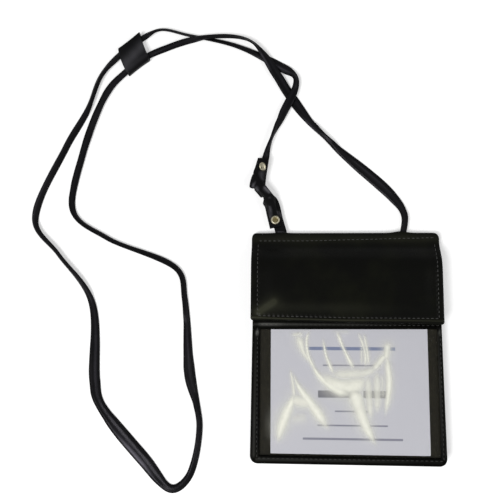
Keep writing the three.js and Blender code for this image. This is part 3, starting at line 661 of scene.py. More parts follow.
columns_x, drop_x = rolled(-HALF_WIDTH, HALF_WIDTH, side_roll, side_roll,
                           np.arange(-HALF_WIDTH + 1.6, HALF_WIDTH - 1.5, GRID))
rows_y, drop_y = rolled(FLAP_EDGE_Y, HEM_TOP_Y, lower_roll, side_roll, np.arange(FLAP_EDGE_Y + 2.2, 78.5, GRID))
flap_x, flap_y = np.meshgrid(columns_x, rows_y)
drop = np.maximum(*np.meshgrid(drop_x, drop_y))
flap_z = flap_height(flap_x, flap_y) - np.where(drop >= TO_LIP, np.interp(flap_y, *turned_in), drop)
print("grid of the flap:", flap_x.shape)

# %% [markdown]
# The grid is square, and the real corners are round. Each corner's points are moved on to an ellipse, which
# keeps the grid whole. Then the back of the hem bulges where the strap and the tab go into it. The inside of
# the skin is the outside moved inwards by its thickness.
# %% Skin of the flap
STRAP_IN_X, TAB_IN_X = 39.5, -45.4


def round_corner(x, y, corner_x, corner_y, radius_x, radius_y):
    """Moves a square corner's points on to an ellipse; the radii point from the middle to the corner."""
    u = np.clip((x - corner_x) / radius_x + 1, 0, 1)
    v = np.clip((y - corner_y) / radius_y + 1, 0, 1)
    new_u, new_v = u * np.sqrt(1 - v * v / 2), v * np.sqrt(1 - u * u / 2)
    inside = (u > 0) & (v > 0)
    return (np.where(inside, corner_x + (new_u - 1) * radius_x, x),
            np.where(inside, corner_y + (new_v - 1) * radius_y, y))


def grid_normals(grid):
    normal = np.cross(np.gradient(grid, axis=1), np.gradient(grid, axis=0))
    return normal / np.maximum(np.linalg.norm(normal, axis=2, keepdims=True), 1e-9)


for corner in ((HALF_WIDTH, HEM_TOP_Y, 4.2, 4.6), (-HALF_WIDTH, HEM_TOP_Y, -2.9, 4.4),
               (HALF_WIDTH, FLAP_EDGE_Y, 1.8, -1.8), (-HALF_WIDTH, FLAP_EDGE_Y, -1.6, -1.8)):
    flap_x, flap_y = round_corner(flap_x, flap_y, *corner)
over_strap, over_tab = valley(flap_x - STRAP_IN_X, 5.5), valley(flap_x - TAB_IN_X, 6.0)
flap_y = flap_y + ramp(flap_y, 75, 80) * (1.1 * over_strap + 0.4 * over_tab)
flap_z = flap_z + ramp(flap_y, 73, 78) * (0.45 * over_strap + 0.25 * over_tab)
flap_outside = np.dstack([flap_x, flap_y - slant(flap_x, flap_y), flap_z])
flap_inside = flap_outside - grid_normals(flap_outside) * (SKIN - 0.1)
flap_inside[:, :, 2] = np.maximum(flap_inside[:, :, 2], 1.05)
flap_skin = closed_sheet("flap_skin", flap_outside, flap_inside)
flap_skin.data.materials.append(black_leather.material)
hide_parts("flap_leather", "top_hem")
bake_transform(flap_skin)
print("flap skin points:", len(flap_skin.data.vertices))

# %% [markdown]
# Highlights and sheen are painted on the flap: a bright line at its lower left corner with a haze round it, a thin line
# where the lower edge bends down, and soft paler bands along the hem and over the lower edge.
# %% Painted highlights of the flap
CORNER_HIGHLIGHT = ((-60.9, 21.7), (-50.2, 29.2))


def away_from(x, y, start, end):
    """Distance from a straight line between two points."""
    (start_x, start_y), (run_x, run_y) = start, np.subtract(end, start)
    share = np.clip(((x - start_x) * run_x + (y - start_y) * run_y) / (run_x ** 2 + run_y ** 2), 0, 1)
    return np.hypot(x - start_x - share * run_x, y - start_y - share * run_y)


corner_away = away_from(flap_x, flap_y, *CORNER_HIGHLIGHT)
flap_up = flap_y - FLAP_EDGE_Y
# A paler colour along these lines paints the sheen of the padding and of its edges.
flap_highlight = 0.95 * valley(corner_away, 2.2) + 0.30 * valley(corner_away, 6.0)
flap_highlight += np.interp(flap_x, [-40, 40], [1.0, 0.7]) * valley(flap_up - lip_up(flap_x), 0.45)
flap_highlight += 0.22 * valley(flap_y - HEM_STITCH_Y - 1.2, 3.0)
flap_highlight += 0.17 * valley(flap_up - 10, 4.0) * plateau(flap_x, -62, -50, -10, 50)
mark(flap_skin, "painted_highlight", np.tile(flap_highlight.ravel(), 2))
print("rubbed points of the flap:", int((flap_highlight > 0.5).sum()))

# %% [markdown]
# ## Stitches
# Each stitch is a short, plump bit of thread that dips into the leather at both ends. All the stitches of one
# part are made as one mesh from small capsules set end to end along a line.
# %% Stitch helpers


def capsule(start, end, radius, lift):
    """A thread from start to end that stands proud in its middle."""
    start, end = np.asarray(start, float), np.asarray(end, float)
    along = (end - start) / np.linalg.norm(end - start)
    side = np.cross(along, (0, 0, 1.0))
    side /= np.linalg.norm(side)
    up = np.cross(side, along)
    points, sides = [], 6
    stations = ((0.0, 0.35, -0.7), (0.18, 0.9, 0.35), (0.5, 1.0, 1.0), (0.82, 0.9, 0.35), (1.0, 0.35, -0.7))
    for share, fat, high in stations:
        middle = start + (end - start) * share + up * high * lift
        for k in range(sides):
            angle = 2 * np.pi * k / sides
            points.append(middle + (side * np.cos(angle) + up * np.sin(angle)) * radius * fat)
    faces = [tuple(range(sides)), tuple(reversed([4 * sides + k for k in range(sides)]))]
    for ring in range(len(stations) - 1):
        for k in range(sides):
            a, b = ring * sides + k, ring * sides + (k + 1) % sides
            faces.append((b, a, a + sides, b + sides))
    return points, faces


def stitch_rows(name, rows, radius=0.27, share=0.66, lift=0.16):
    """Rows are (start, end, height of the leather at a point)."""
    points, faces = [], []
    for start, end, height in rows:
        start, end = np.asarray(start, float), np.asarray(end, float)
        count = max(int(round(np.linalg.norm(end - start) / STITCH_PITCH)), 1)
        for k in range(count):
            ends = []
            for part in ((k + 0.5 - share / 2) / count, (k + 0.5 + share / 2) / count):
                x, y = start + (end - start) * part
                ends.append((x, y, height(x, y)))
            more_points, more_faces = capsule(*ends, radius, lift)
            faces += [tuple(v + len(points) for v in face) for face in more_faces]
            points += more_points
    return make_mesh(name, points, faces)


print("points of one stitch:", len(capsule((0, 0, 0), (2, 0, 0), 0.27, 0.16)[0]))

# %% [markdown]
# Most of the finishes that follow are two tones mixed by a fine noise, with the same noise as bump: the twist
# of a thread, the cells of foam, the pulp of board. One function makes them all. The thread on the flap is a
# dark grey, and the one on the border is nearly black.
# %% Grained finishes


def grained(name, dark, pale, grain, bump, steps=None, on_solid=False, **constants):
    """Two tones; grain is the noise's scale, detail and roughness, and bump its strength and depth."""
    finish = Finish(name, **constants)
    place = finish.node("ShaderNodeTexCoord", output="Object") if on_solid else finish.rest()
    noise = finish.noise(place, *grain)
    finish.set("Base Color", finish.blend(noise.above(*steps) if steps else noise, (*dark, 1), (*pale, 1)))
    if bump:
        finish.bump(noise, *bump)
    return finish, noise


grey_thread, _ = grained("grey_thread", (0.008, 0.008, 0.007), (0.029, 0.028, 0.026), (1800.0, 2.0), (0.4, 0.0002),
                         Roughness=0.6)
dark_thread, _ = grained("dark_thread", (0.002, 0.002, 0.0015), (0.008, 0.008, 0.006), (1800.0, 2.0), (0.4, 0.0002),
                         Roughness=0.6)
print("threads:", grey_thread.material.name, dark_thread.material.name)

# %% Stitches of the flap


def flap_row(first, last):
    """A row from point to point; the height comes from the flap before its edge was slanted."""
    def on_skin(x, y):
        return float(flap_height(np.array(x), np.array(y + slant(x, y)))) + 0.12
    return first, last, on_skin


def edge_point(x):
    y = FLAP_EDGE_Y + edge_stitch_up(x)
    return x, float(y - slant(x, y))


flap_thread = stitch_rows("flap_thread", [
    flap_row((LEFT_STITCH_X, HEM_STITCH_Y), HEM_STITCH_TURN),
    flap_row(HEM_STITCH_TURN, HEM_STITCH_END),
    flap_row((LEFT_STITCH_X, 72.0), edge_point(LEFT_STITCH_X)),
    flap_row((RIGHT_STITCH_X, 72.0), edge_point(RIGHT_STITCH_X)),
    flap_row(edge_point(LEFT_STITCH_X), edge_point(0.0)),
    flap_row(edge_point(0.0), edge_point(RIGHT_STITCH_X)),
])
flap_thread.data.materials.append(grey_thread.material)
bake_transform(flap_thread)
print("faces of the flap's thread:", len(flap_thread.data.polygons))

# %% [markdown]
# ## The border of the window
# The border is one sheet with a hole in it. Its outer edge is turned over and makes a soft bead all round, then
# comes a valley with the row of stitches, and then a thin lip that holds the vinyl. A grid with its middle
# squares left out gives all of this at once, and the bottom corners are rounded afterwards. The body is a
# little narrower at the top, so every row of the grid has its own width.
# %% Grid of the border
BOTTOM_Y = -80.0
BODY_TAPER = 2.0
BORDER_TOP_Y = 30.0
HOLE_LEFT, HOLE_RIGHT, HOLE_BOTTOM, HOLE_TOP = -60.0, 62.2, -74.5, 11.0


def body_half_width(y):
    return HALF_WIDTH - BODY_TAPER * (y - BOTTOM_Y) / (HEM_TOP_Y - BOTTOM_Y)


def strip_stations(count):
    """Shares across a border strip, closer together at its outer roll and its inner lip."""
    t = np.linspace(0, 1, count)
    return t - 0.08 * np.sin(2 * np.pi * t)


strip = strip_stations(13)
hole_x = np.arange(HOLE_LEFT, HOLE_RIGHT, GRID)[1:]
hole_y = np.arange(HOLE_BOTTOM, HOLE_TOP, GRID)[1:]
rows = np.concatenate([BOTTOM_Y + (HOLE_BOTTOM - BOTTOM_Y) * strip, hole_y, np.linspace(HOLE_TOP, BORDER_TOP_Y, 22)])
border_x = []
for half in body_half_width(rows):
    left, right = -half + (HOLE_LEFT + half) * strip, half - (half - HOLE_RIGHT) * strip[::-1]
    border_x.append(np.concatenate([left, hole_x, right]))
border_x = np.array(border_x)
border_y = np.repeat(rows[:, None], border_x.shape[1], axis=1)
keep = np.ones((border_x.shape[0] - 1, border_x.shape[1] - 1), bool)
keep[len(strip) - 1:len(strip) + len(hole_y), len(strip) - 1:len(strip) + len(hole_x)] = False
print("squares of the border:", int(keep.sum()))

# %% Height of the border
BORDER_Z = 10.2
BORDER_UNDER_Z = 9.24
RIM_UNDER_Z, RIM_WIDTH = 8.12, 1.75
SIDE_ROW_OUT = 1.75
BAND_ROW_Y = 14.2
LIP_WIDTH = 2.6
ROW_DEEP, BAND_ROW_DEEP = 0.34, 0.5


def from_edges(x, y):
    """Distances from the left, the right and the bottom edge of the body."""
    half = body_half_width(y)
    return x + half, half - x, y - BOTTOM_Y


def border_height(x, y):
    from_left, from_right, from_bottom = from_edges(x, y)
    outer = np.minimum(np.minimum(from_left, from_right), from_bottom)
    wide = np.where(x < 0, HOLE_LEFT + body_half_width(y), body_half_width(y) - HOLE_RIGHT)
    wide = np.where(from_bottom < np.minimum(from_left, from_right), HOLE_BOTTOM - BOTTOM_Y, wide)
    bead = np.clip(wide - LIP_WIDTH, 0.7, 3.1)
    t = np.clip(outer / bead, 0, 1)
    raised = np.where(t < 1, 0.16 * np.sin(np.pi * t) ** 0.8, 0)
    roll_down = 0.95 * (1 - np.clip(outer / 0.9, 0, 1)) ** 2.2
    seam = 0.28 * valley(outer - bead - 0.1, 0.35)
    inner = np.maximum(np.maximum(HOLE_LEFT - x, x - HOLE_RIGHT), np.maximum(HOLE_BOTTOM - y, y - HOLE_TOP))
    lip_down = 0.5 * (1 - np.clip(inner / 0.6, 0, 1)) ** 2
    top_roll = 0.9 * (1 - np.clip((BORDER_TOP_Y - y) / 1.0, 0, 1)) ** 2
    side_row = valley(x - HOLE_LEFT + SIDE_ROW_OUT, 0.6) + valley(x - HOLE_RIGHT - SIDE_ROW_OUT, 0.6)
    side_row = side_row * pucker(y) * plateau(y, -77, -76, 12, 13)
    across_row = pucker(x) * plateau(x, -62.5, -61.5, 63.5, 64.5)
    low_row = valley(y - HOLE_BOTTOM + SIDE_ROW_OUT, 0.6) * across_row
    band_row = valley(y - BAND_ROW_Y, 0.9) * across_row
    return (BORDER_Z + raised - roll_down - seam - lip_down - top_roll
            - ROW_DEEP * (side_row + low_row) - BAND_ROW_DEEP * band_row)


border_z = border_height(border_x, border_y)
under_z = np.where(np.minimum.reduce(from_edges(border_x, border_y)) < RIM_WIDTH, RIM_UNDER_Z, BORDER_UNDER_Z)
print("border stands", round(float(border_z.max() - BORDER_Z), 2), "mm proud")

# %% Border of the window
CORNER_RADIUS = 5.4
border_y = border_y + (0.3 + 0.006 * border_x) * plateau(border_y, 4, 10.5, 11.3, 14.0)
for sign in (1, -1):
    border_x, border_y = round_corner(border_x, border_y, sign * body_half_width(BOTTOM_Y), BOTTOM_Y,
                                      sign * CORNER_RADIUS, -CORNER_RADIUS)
window_border = closed_sheet("window_border", np.dstack([border_x, border_y, border_z]),
                             np.dstack([border_x, border_y, under_z]), keep)
window_border.data.materials.append(border_leather.material)
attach(window_border, "holder")
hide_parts("window_frame", "pocket_strip_left", "pocket_strip_right", "pocket_strip_bottom")
print("window border points:", len(window_border.data.vertices))

# %% [markdown]
# Highlights are painted on the border where it stands proud: along the bead, most at the lower left, along the row of
# stitches under the flap, and at the two upper corners of the window. The marks are worked out from the mesh's own
# points, because the squares that were left out took theirs with them.
# %% Painted highlights of the border
spots_x, spots_y, _ = (np.array([v.co for v in window_border.data.vertices]) / MM).T
# Painted glints along the band's stitches and at the window's upper corners, then a painted highlight line along the
# bead.
border_highlight = valley(spots_y - BAND_ROW_Y - 0.2, 0.7) * np.interp(
    spots_x, [-62, -58, -50, -42, 0, 30, 45], [0.2, 0.9, 0.8, 0.35, 0.18, 0.06, 0])
for at_x, at_y, level in ((-61.9, 8.6, 1.0), (63.6, 9.4, 0.4)):
    border_highlight += level * valley(spots_x - at_x, 0.8) * valley(spots_y - at_y, 1.6)
from_left, from_right, from_bottom = from_edges(spots_x, spots_y)
bead_heights = [-76, -55, -36, -2, 8]
bead_left = valley(from_left - 2.6, 0.8) * np.interp(spots_y, bead_heights, [0.2, 0.26, 0.2, 0.07, 0.05])
bead_right = valley(from_right - 3.1, 0.8) * np.interp(spots_y, bead_heights, [0.03, 0.08, 0.15, 0.12, 0.1])
bead_low = valley(from_bottom - 2.9, 0.8) * np.interp(spots_x, [-60, -39, -5, 28, 49], [0.16, 0.19, 0.17, 0.09, 0.05])
bead_sides = np.maximum(bead_left, bead_right) * ramp(spots_y, -77, -74)
border_highlight += np.maximum(bead_sides, bead_low * (np.abs(spots_x) < 63)) * (1 - ramp(spots_y, 8, 11))
mark(window_border, "painted_highlight", border_highlight)
print("rubbed points of the border:", int((border_highlight > 0.2).sum()))

# %% Stitches of the border


def border_row(first, last):
    return first, last, lambda x, y: float(border_height(np.array(float(x)), np.array(float(y)))) + 0.10


side_left, side_right = HOLE_LEFT - SIDE_ROW_OUT, HOLE_RIGHT + SIDE_ROW_OUT
row_bottom = HOLE_BOTTOM - SIDE_ROW_OUT
border_thread = stitch_rows("border_thread", [
    border_row((side_left, 12.6), (side_left, row_bottom)),
    border_row((side_right, 12.6), (side_right, row_bottom)),
    border_row((side_left, row_bottom), (side_right, row_bottom)),
    border_row((side_left, BAND_ROW_Y), (side_right, BAND_ROW_Y)),
], radius=0.22)
border_thread.data.materials.append(dark_thread.material)
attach(border_thread, "holder")
print("faces of the border's thread:", len(border_thread.data.polygons))

# %% [markdown]
# ## Vinyl window
# The window is a sheet of soft clear vinyl that has been creased in use. It is nearly invisible where it lies flat, and
# turns milky and slightly yellow along its creases: partly the whitening of creased vinyl, and partly painted
# reflections of light on its wrinkles. So it is a thin sheet with low ridges, and the height of the ridges is kept on
# the mesh to drive how milky the vinyl is.
#
# A crease is a line of points, its half width at each of them and a strength. It fades out at both ends.
# %% Creases of the vinyl


def crease_and_highlight_field(x, y, creases):
    """How near each point is to the lines, from 0 to 1: how creased the vinyl is, and the strength of a painted
    highlight on the tabs.
    """
    field = np.zeros_like(x)
    for line, widths, strength in creases:
        path, run = smooth_line(np.column_stack([np.array(line, float), widths]), 0.8)
        fade = np.clip(np.sin(np.pi * np.clip(run / run[-1], 0.02, 0.98)) * 1.5, 0, 1)
        for (middle_x, middle_y, width), level in zip(path, fade):
            away = ((x - middle_x) ** 2 + (y - middle_y) ** 2) / width ** 2
            nearness = 0.68 * np.exp(-away) + 0.32 * np.exp(-away / 6.5)
            field = np.maximum(field, strength * level * nearness)
    return field


vinyl_creases = [
    ([(-38.9, -16.5), (-37, -26.4), (-36, -36.7)], (0.5, 0.8, 1.0), 0.75),
    ([(-37, -18.5), (-33.7, -27.3), (-29.4, -33.7), (-23.8, -41), (-19.2, -47.4), (-12.6, -57.5)],
     (0.6, 1.0, 1.7, 2.1, 2.3, 1.0), 1.0),
    ([(-36.4, -31), (-38, -38.2), (-41.1, -45), (-44.6, -54), (-47.6, -66.3)], (0.8, 1.5, 2.4, 2.4, 0.9), 1.0),
    ([(-38, -37), (-31.5, -38.4), (-23.8, -39.4)], (2.4, 3.4, 2.4), 0.72),
    ([(-38, -50.4), (-28.5, -48.5)], (3.2, 3.2), 0.28),
    ([(-34.8, 7.8), (-32.2, 2.8), (-29.6, -4.7), (-23.7, -13.2)], (1.7, 1.9, 1.3, 0.7), 0.72),
    ([(-37, 7.3), (-30.4, 8.2)], (1.3, 1.3), 0.55),
    ([(-33, 10.6), (-24.5, 10.7)], (0.8, 0.8), 0.8),
    ([(-25, 11.5), (-27.4, 4.7), (-26.5, -6.6), (-20.9, -18.3)], (0.6, 0.6, 0.7, 0.9), 1.0),
    ([(-25, -10), (-20.9, -18.3), (-14.3, -25.4), (-4.1, -31.4), (5, -32.6)], (0.6, 0.9, 1.6, 2.4, 2.2), 1.0),
    ([(-16.2, 4.9), (-14.2, -6.5), (-11.4, -14), (-8.6, -20.6)], (0.5, 0.6, 0.8, 1.2), 0.9),
    ([(-10.3, 10.5), (3, 10.5)], (0.9, 0.9), 0.85),
    ([(-7, 11.5), (-3.7, 2), (0.4, -7.3), (5.3, -16.8)], (0.9, 0.6, 0.7, 1.3), 1.0),
    ([(8, 9.8), (12.2, -2.6), (13.1, -15.8)], (0.5, 0.7, 0.8), 0.8),
    ([(11.9, 8.9), (14.1, -3.5), (15.1, -14.8)], (0.6, 0.8, 0.8), 0.75),
    ([(10.4, 3.1), (10.2, -13.9)], (0.5, 0.7), 0.45),
    ([(-18.7, -20.4), (-9.7, -26), (-2.2, -28), (5.3, -27.3), (13, -22)], (2.2, 3.4, 4.0, 4.2, 2.4), 0.9),
    ([(-12.6, -19.8), (1.7, -19.5), (12.9, -18.4), (23.3, -13.6)], (2.2, 2.8, 2.4, 1.6), 0.6),
    ([(17.8, -16.8), (27.2, -5.2)], (1.8, 1.5), 0.75),
    ([(28.4, 1.6), (26.6, -9.2)], (1.9, 1.6), 0.8),
    ([(27.2, -4), (28, -13.6), (28.7, -22.9), (28, -33), (25.7, -47.1)], (0.8, 1.3, 1.6, 1.4, 0.7), 0.95),
    ([(1.3, -25), (5.6, -35), (9, -45), (12.8, -55), (19.4, -67.4)], (3.0, 3.3, 2.8, 2.2, 0.8), 1.0),
    ([(14, -18), (15, -36.9), (15.8, -51.9)], (1.7, 2.1, 1.0), 0.62),
    ([(20.2, -16.2), (20.6, -33.1), (19.9, -46.3)], (1.8, 2.3, 1.1), 0.58),
    ([(24.1, -18), (24.4, -37.1)], (1.3, 1.2), 0.4),
]
print("creases in the vinyl:", len(vinyl_creases))

# %% Vinyl sheet
FILM_Z = 9.0
FILM_THICK = 0.2
FILM_INSET = 2.1
FILM_CORNER = 3.6
WAVE_HIGH, CREASE_HIGH = 0.30, 0.12
film_columns = np.linspace(-1, 1, 216)
film_rows = np.linspace(BOTTOM_Y + FILM_INSET, BORDER_TOP_Y, 184)
film_x = film_columns[None, :] * (body_half_width(film_rows) - FILM_INSET)[:, None]
film_y = np.repeat(film_rows[:, None], len(film_columns), axis=1)
for sign in (1, -1):
    film_x, film_y = round_corner(film_x, film_y, sign * (body_half_width(BOTTOM_Y) - FILM_INSET),
                                  BOTTOM_Y + FILM_INSET, sign * FILM_CORNER, -FILM_CORNER)
open_part = (plateau(film_x, HOLE_LEFT - 0.5, HOLE_LEFT + 5, HOLE_RIGHT - 5, HOLE_RIGHT + 0.5)
             * plateau(film_y, HOLE_BOTTOM - 0.5, HOLE_BOTTOM + 5, HOLE_TOP - 4, HOLE_TOP + 0.5))
crease = crease_and_highlight_field(film_x, film_y, vinyl_creases)
waves = 0.5 + 0.25 * np.sin(film_x / 9 + 0.8 * np.sin(film_y / 12)) + 0.25 * np.sin(film_y / 11 + film_x / 23 + 2)
film_z = FILM_Z + FILM_THICK + open_part * (WAVE_HIGH * waves + CREASE_HIGH * crease)
film_outside = np.dstack([film_x, film_y, film_z])
vinyl_sheet = closed_sheet("vinyl_sheet", film_outside, film_outside - np.array([0, 0, FILM_THICK - 0.03]))
# This mark is partly the whitening of creased vinyl and partly painted reflections of light on its wrinkles.
mark(vinyl_sheet, "milky_and_glare", np.tile((crease * open_part).ravel(), 2))
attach(vinyl_sheet, "holder")
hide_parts("window_film")
print("vinyl ridges in mm:", round(float((film_z - FILM_Z - FILM_THICK).max()), 2))

# %% [markdown]
# The clear part of the vinyl lets everything through, so its alpha is next to nothing there. On a crease the alpha
# rises with the mark on the mesh and a cloudy noise. Creases catch far more light than plain lamps give, so the vinyl
# also glows very faintly: a painted light, standing in for the reflections on its creases.
# %% Vinyl finish
# The faint emission is a painted light, standing in for what the creases reflect; it shows as far as the alpha does.
vinyl_finish = Finish("clear_vinyl", Base_Color=(0.93, 0.93, 0.83, 1), Roughness=0.14,
                      Emission_Color=(1.0, 1.0, 0.91, 1), Emission_Strength=0.06)
vinyl_milk_and_glare = vinyl_finish.node("ShaderNodeAttribute", {"attribute_name": "milky_and_glare"}, output="Fac")
vinyl_cloud = vinyl_finish.noise(vinyl_finish.rest(), 160.0, 3.0, 0.6)
vinyl_finish.set("Alpha", 0.004 + 0.80 * vinyl_milk_and_glare * (0.70 + 0.55 * vinyl_cloud))
vinyl_finish.bump(vinyl_cloud, 0.25, 0.0004)
vinyl_sheet.data.materials.append(vinyl_finish.material)
print("vinyl finish is ready")

# %% [markdown]
# ## Badge card
# The card is a sheet of stiff paper that slides up out of its pocket. Card, skins, linings, foam and tapes are all flat
# panels, and what makes a panel look real is its rim: slightly rounded, with crowded grid lines near it. So one
# function makes them all, with sides that may be straight or follow the tapered body.
# %% Panels with rounded edges


def spread(low, high, edge, step):
    """Stations from low to high, close together near both ends."""
    near = np.array([0.0, 0.12, 0.35, 0.65, 1.0]) * edge
    middle = np.linspace(low + edge, high - edge, max(int((high - low - 2 * edge) / step), 2) + 1)[1:-1]
    return np.concatenate([low + near, middle, (high - near)[::-1]])


def panel(name, side, low_y, high_y, low_z, high_z, corners=(0, 0), edge=0.5, top_roll=0.1, under_roll=0.1,
          step=4.0, shape=None):
    """A flat piece; side gives its left and right edge at a height y. Its upper and lower rims are rounded."""
    share = spread(-1, 1, edge / 60, step / 60)
    levels = spread(low_y, high_y, edge, step)
    left, right = np.array([side(y) for y in levels]).T
    x = (left + right)[:, None] / 2 + (right - left)[:, None] / 2 * share[None, :]
    y = np.repeat(levels[:, None], len(share), axis=1)
    inwards = np.minimum(np.minimum(x - left[:, None], right[:, None] - x), np.minimum(y - low_y, high_y - y))
    rim = 1 - np.sqrt(np.clip(1 - (1 - np.clip(inwards / edge, 0, 1)) ** 2, 0, 1))
    top, under = high_z - top_roll * rim, low_z + under_roll * rim
    for sign, edge_x in ((1, right), (-1, left)):
        if corners[0]:
            x, y = round_corner(x, y, edge_x[0], low_y, sign * corners[0], -corners[0])
        if corners[1]:
            x, y = round_corner(x, y, edge_x[-1], high_y, sign * corners[1], corners[1])
    if shape is not None:
        x, y, top, under = shape(x, y, top, under)
    return closed_sheet(name, np.dstack([x, y, top]), np.dstack([x, y, under]))


def straight(left, right):
    return lambda y: (left, right)


def body_sides(inset):
    return lambda y: (-body_half_width(y) + inset, body_half_width(y) - inset)


print("stations of a 10 mm panel:", len(spread(0, 10, 0.5, 4.0)))

# %% Card
CARD_LEFT, CARD_RIGHT, CARD_LOW, CARD_HIGH = -52.4, 55.6, -73.2, 15.7
card_paper = panel("card_paper", straight(CARD_LEFT, CARD_RIGHT), CARD_LOW, CARD_HIGH, 8.375, 8.725,
                   corners=(0.6, 0.6), edge=0.3, top_roll=0.05, under_roll=0.05)
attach(card_paper, "badge")
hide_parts("badge_card")
print("card points:", len(card_paper.data.vertices))

# %% [markdown]
# The card carries a few plain bars. A material can draw them by itself: the place on the card is split into its
# two numbers, and a bar is where both are near enough to the bar's middle.
# %% Card finish
BAR_EDGE = 0.0003
paper_finish = Finish("badge_paper", Roughness=0.6)
paper_place = paper_finish.rest()
paper_x = paper_finish.node("ShaderNodeSeparateXYZ", {}, {"Vector": paper_place}, "X")
paper_y = Signal(paper_finish, paper_x.socket.node.outputs["Y"])
paper_fibre = paper_finish.noise(paper_place, 900.0, 3.0)


def bar(middle_x, middle_y, half_long, half_high):
    """1 inside a bar on the card; its middle and its half sizes are in millimetres."""
    inside_x = (half_long * MM - abs(paper_x - middle_x * MM)).above(0.0, BAR_EDGE)
    inside_y = (half_high * MM - abs(paper_y - middle_y * MM)).above(0.0, BAR_EDGE)
    return inside_x * inside_y


blue_bar = bar(3.5, -2.0, 30, 1.3)
wide_bars = bar(-6.0, -33.0, 14, 2.6) + bar(20.0, -33.0, 9, 2.6)
thin_bars = bar(3.5, -13.5, 20, 0.7) + bar(3.5, -44.5, 12, 0.7) + bar(3.5, -54.0, 24, 0.7) + bar(3.5, -63.0, 34, 0.9)
paper_colour = paper_finish.blend(paper_fibre, (0.50, 0.50, 0.545, 1), (0.54, 0.54, 0.58, 1))
for bars, colour in ((blue_bar, (0.16, 0.19, 0.30, 1)), (wide_bars, (0.10, 0.10, 0.13, 1)),
                     (thin_bars, (0.20, 0.20, 0.25, 1))):
    paper_colour = paper_finish.blend(bars, paper_colour, colour)
paper_finish.set("Base Color", paper_colour)
paper_finish.bump(paper_fibre, 0.15, 0.0001)
card_paper.data.materials.append(paper_finish.material)
print("card finish is ready")

# %% [markdown]
# ## Inside the holder
# Behind the card lies a dark skin on a stiff board, and behind that the open compartment between two linings.
# The boards are the solids of the part, which only need a finish; the skins and linings are panels. The lining
# is woven, and two bands of waves across each other give its threads.
# %% Finishes of the inside


def holder_piece(piece, node, finish, body="holder"):
    """Puts a piece in the place of one solid and gives it its body and its finish."""
    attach(piece, body)
    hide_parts(node)
    piece.data.materials.append(finish.material)


lining_finish = Finish("black_lining", Roughness=0.7)
lining_place = lining_finish.rest()
weave_across, weave_along = (
    lining_finish.node("ShaderNodeTexWave", {"bands_direction": direction}, {
        "Vector": lining_place, "Scale": 500.0, "Distortion": 0.6, "Detail": 1.0}, "Fac") for direction in "XY")
lining_finish.set("Base Color", lining_finish.blend(weave_across, (0.008, 0.008, 0.008, 1), (0.02, 0.02, 0.02, 1)))
lining_finish.bump(weave_across + weave_along, 0.3, 0.0002)
backing_finish, _ = grained("backing_skin", (0.006, 0.0053, 0.0032), (0.0135, 0.0120, 0.0072), (420.0, 4.0, 0.6),
                            (0.3, 0.0002), steps=(0.3, 0.75), Roughness=0.5, Specular_IOR_Level=0.05)
tape_finish, _ = grained("tape_fibre", (0.006, 0.006, 0.006), (0.03, 0.03, 0.03), (2200.0, 4.0, 0.7), (0.8, 0.0005),
                         Base_Color=(0.012, 0.012, 0.012, 1), Roughness=0.9)
foam_finish, _ = grained("grey_foam", (0.05, 0.05, 0.05), (0.12, 0.12, 0.12), (1400.0, 3.0, 0.6), (0.6, 0.0003),
                         Roughness=0.9)
board_finish, _ = grained("grey_board", (0.10, 0.095, 0.085), (0.19, 0.18, 0.16), (600.0, 4.0, 0.6), (0.3, 0.0002),
                          on_solid=True, Roughness=0.85)
for board in ("back_board", "divider_board", "flap_board"):
    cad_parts[board].data.materials.clear()
    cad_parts[board].data.materials.append(board_finish.material)
print("finishes so far:", len(bpy.data.materials))

# %% Backing skin and linings
BODY_CORNER = 5.5
LINING_INSET, LINING_CORNER = 2.6, 2.9
DIVIDER_TOP_Y, BACK_LINING_TOP_Y = 62.0, 71.9
holder_piece(panel("backing_skin_sheet", body_sides(0.0), BOTTOM_Y, DIVIDER_TOP_Y, 7.6, 8.1,
                   corners=(BODY_CORNER, 0)), "badge_backing", backing_finish)
for name, high_y, low_z, high_z in (("divider_lining", DIVIDER_TOP_Y, 6.5, 6.8),
                                    ("back_lining", BACK_LINING_TOP_Y, 1.8, 2.1)):
    lining = panel(name + "_sheet", body_sides(LINING_INSET), BOTTOM_Y + LINING_INSET, high_y, low_z, high_z,
                   corners=(LINING_CORNER, 0), edge=0.3)
    holder_piece(lining, name, lining_finish)
print("linings end at", DIVIDER_TOP_Y, "and", BACK_LINING_TOP_Y, "mm")

# %% [markdown]
# The back is one plain panel with a seam all round. Nobody sees it while the holder lies down, but it shows as
# soon as somebody turns it over, so it gets its valley and its stitches too.
# %% Back panel
SEAM_IN = 4.0


def back_rows(x, y, top, under):
    """The back's seam pulls a valley into its outer face."""
    half = body_half_width(y)
    rows = valley(half - np.abs(x) - SEAM_IN, 0.8) + valley(y - BOTTOM_Y - SEAM_IN, 0.8) + valley(y - HEM_STITCH_Y, 0.8)
    return x, y, top, under + 0.22 * np.clip(rows, 0, 1)


def back_row(first, last):
    return first, last, lambda x, y: -0.02


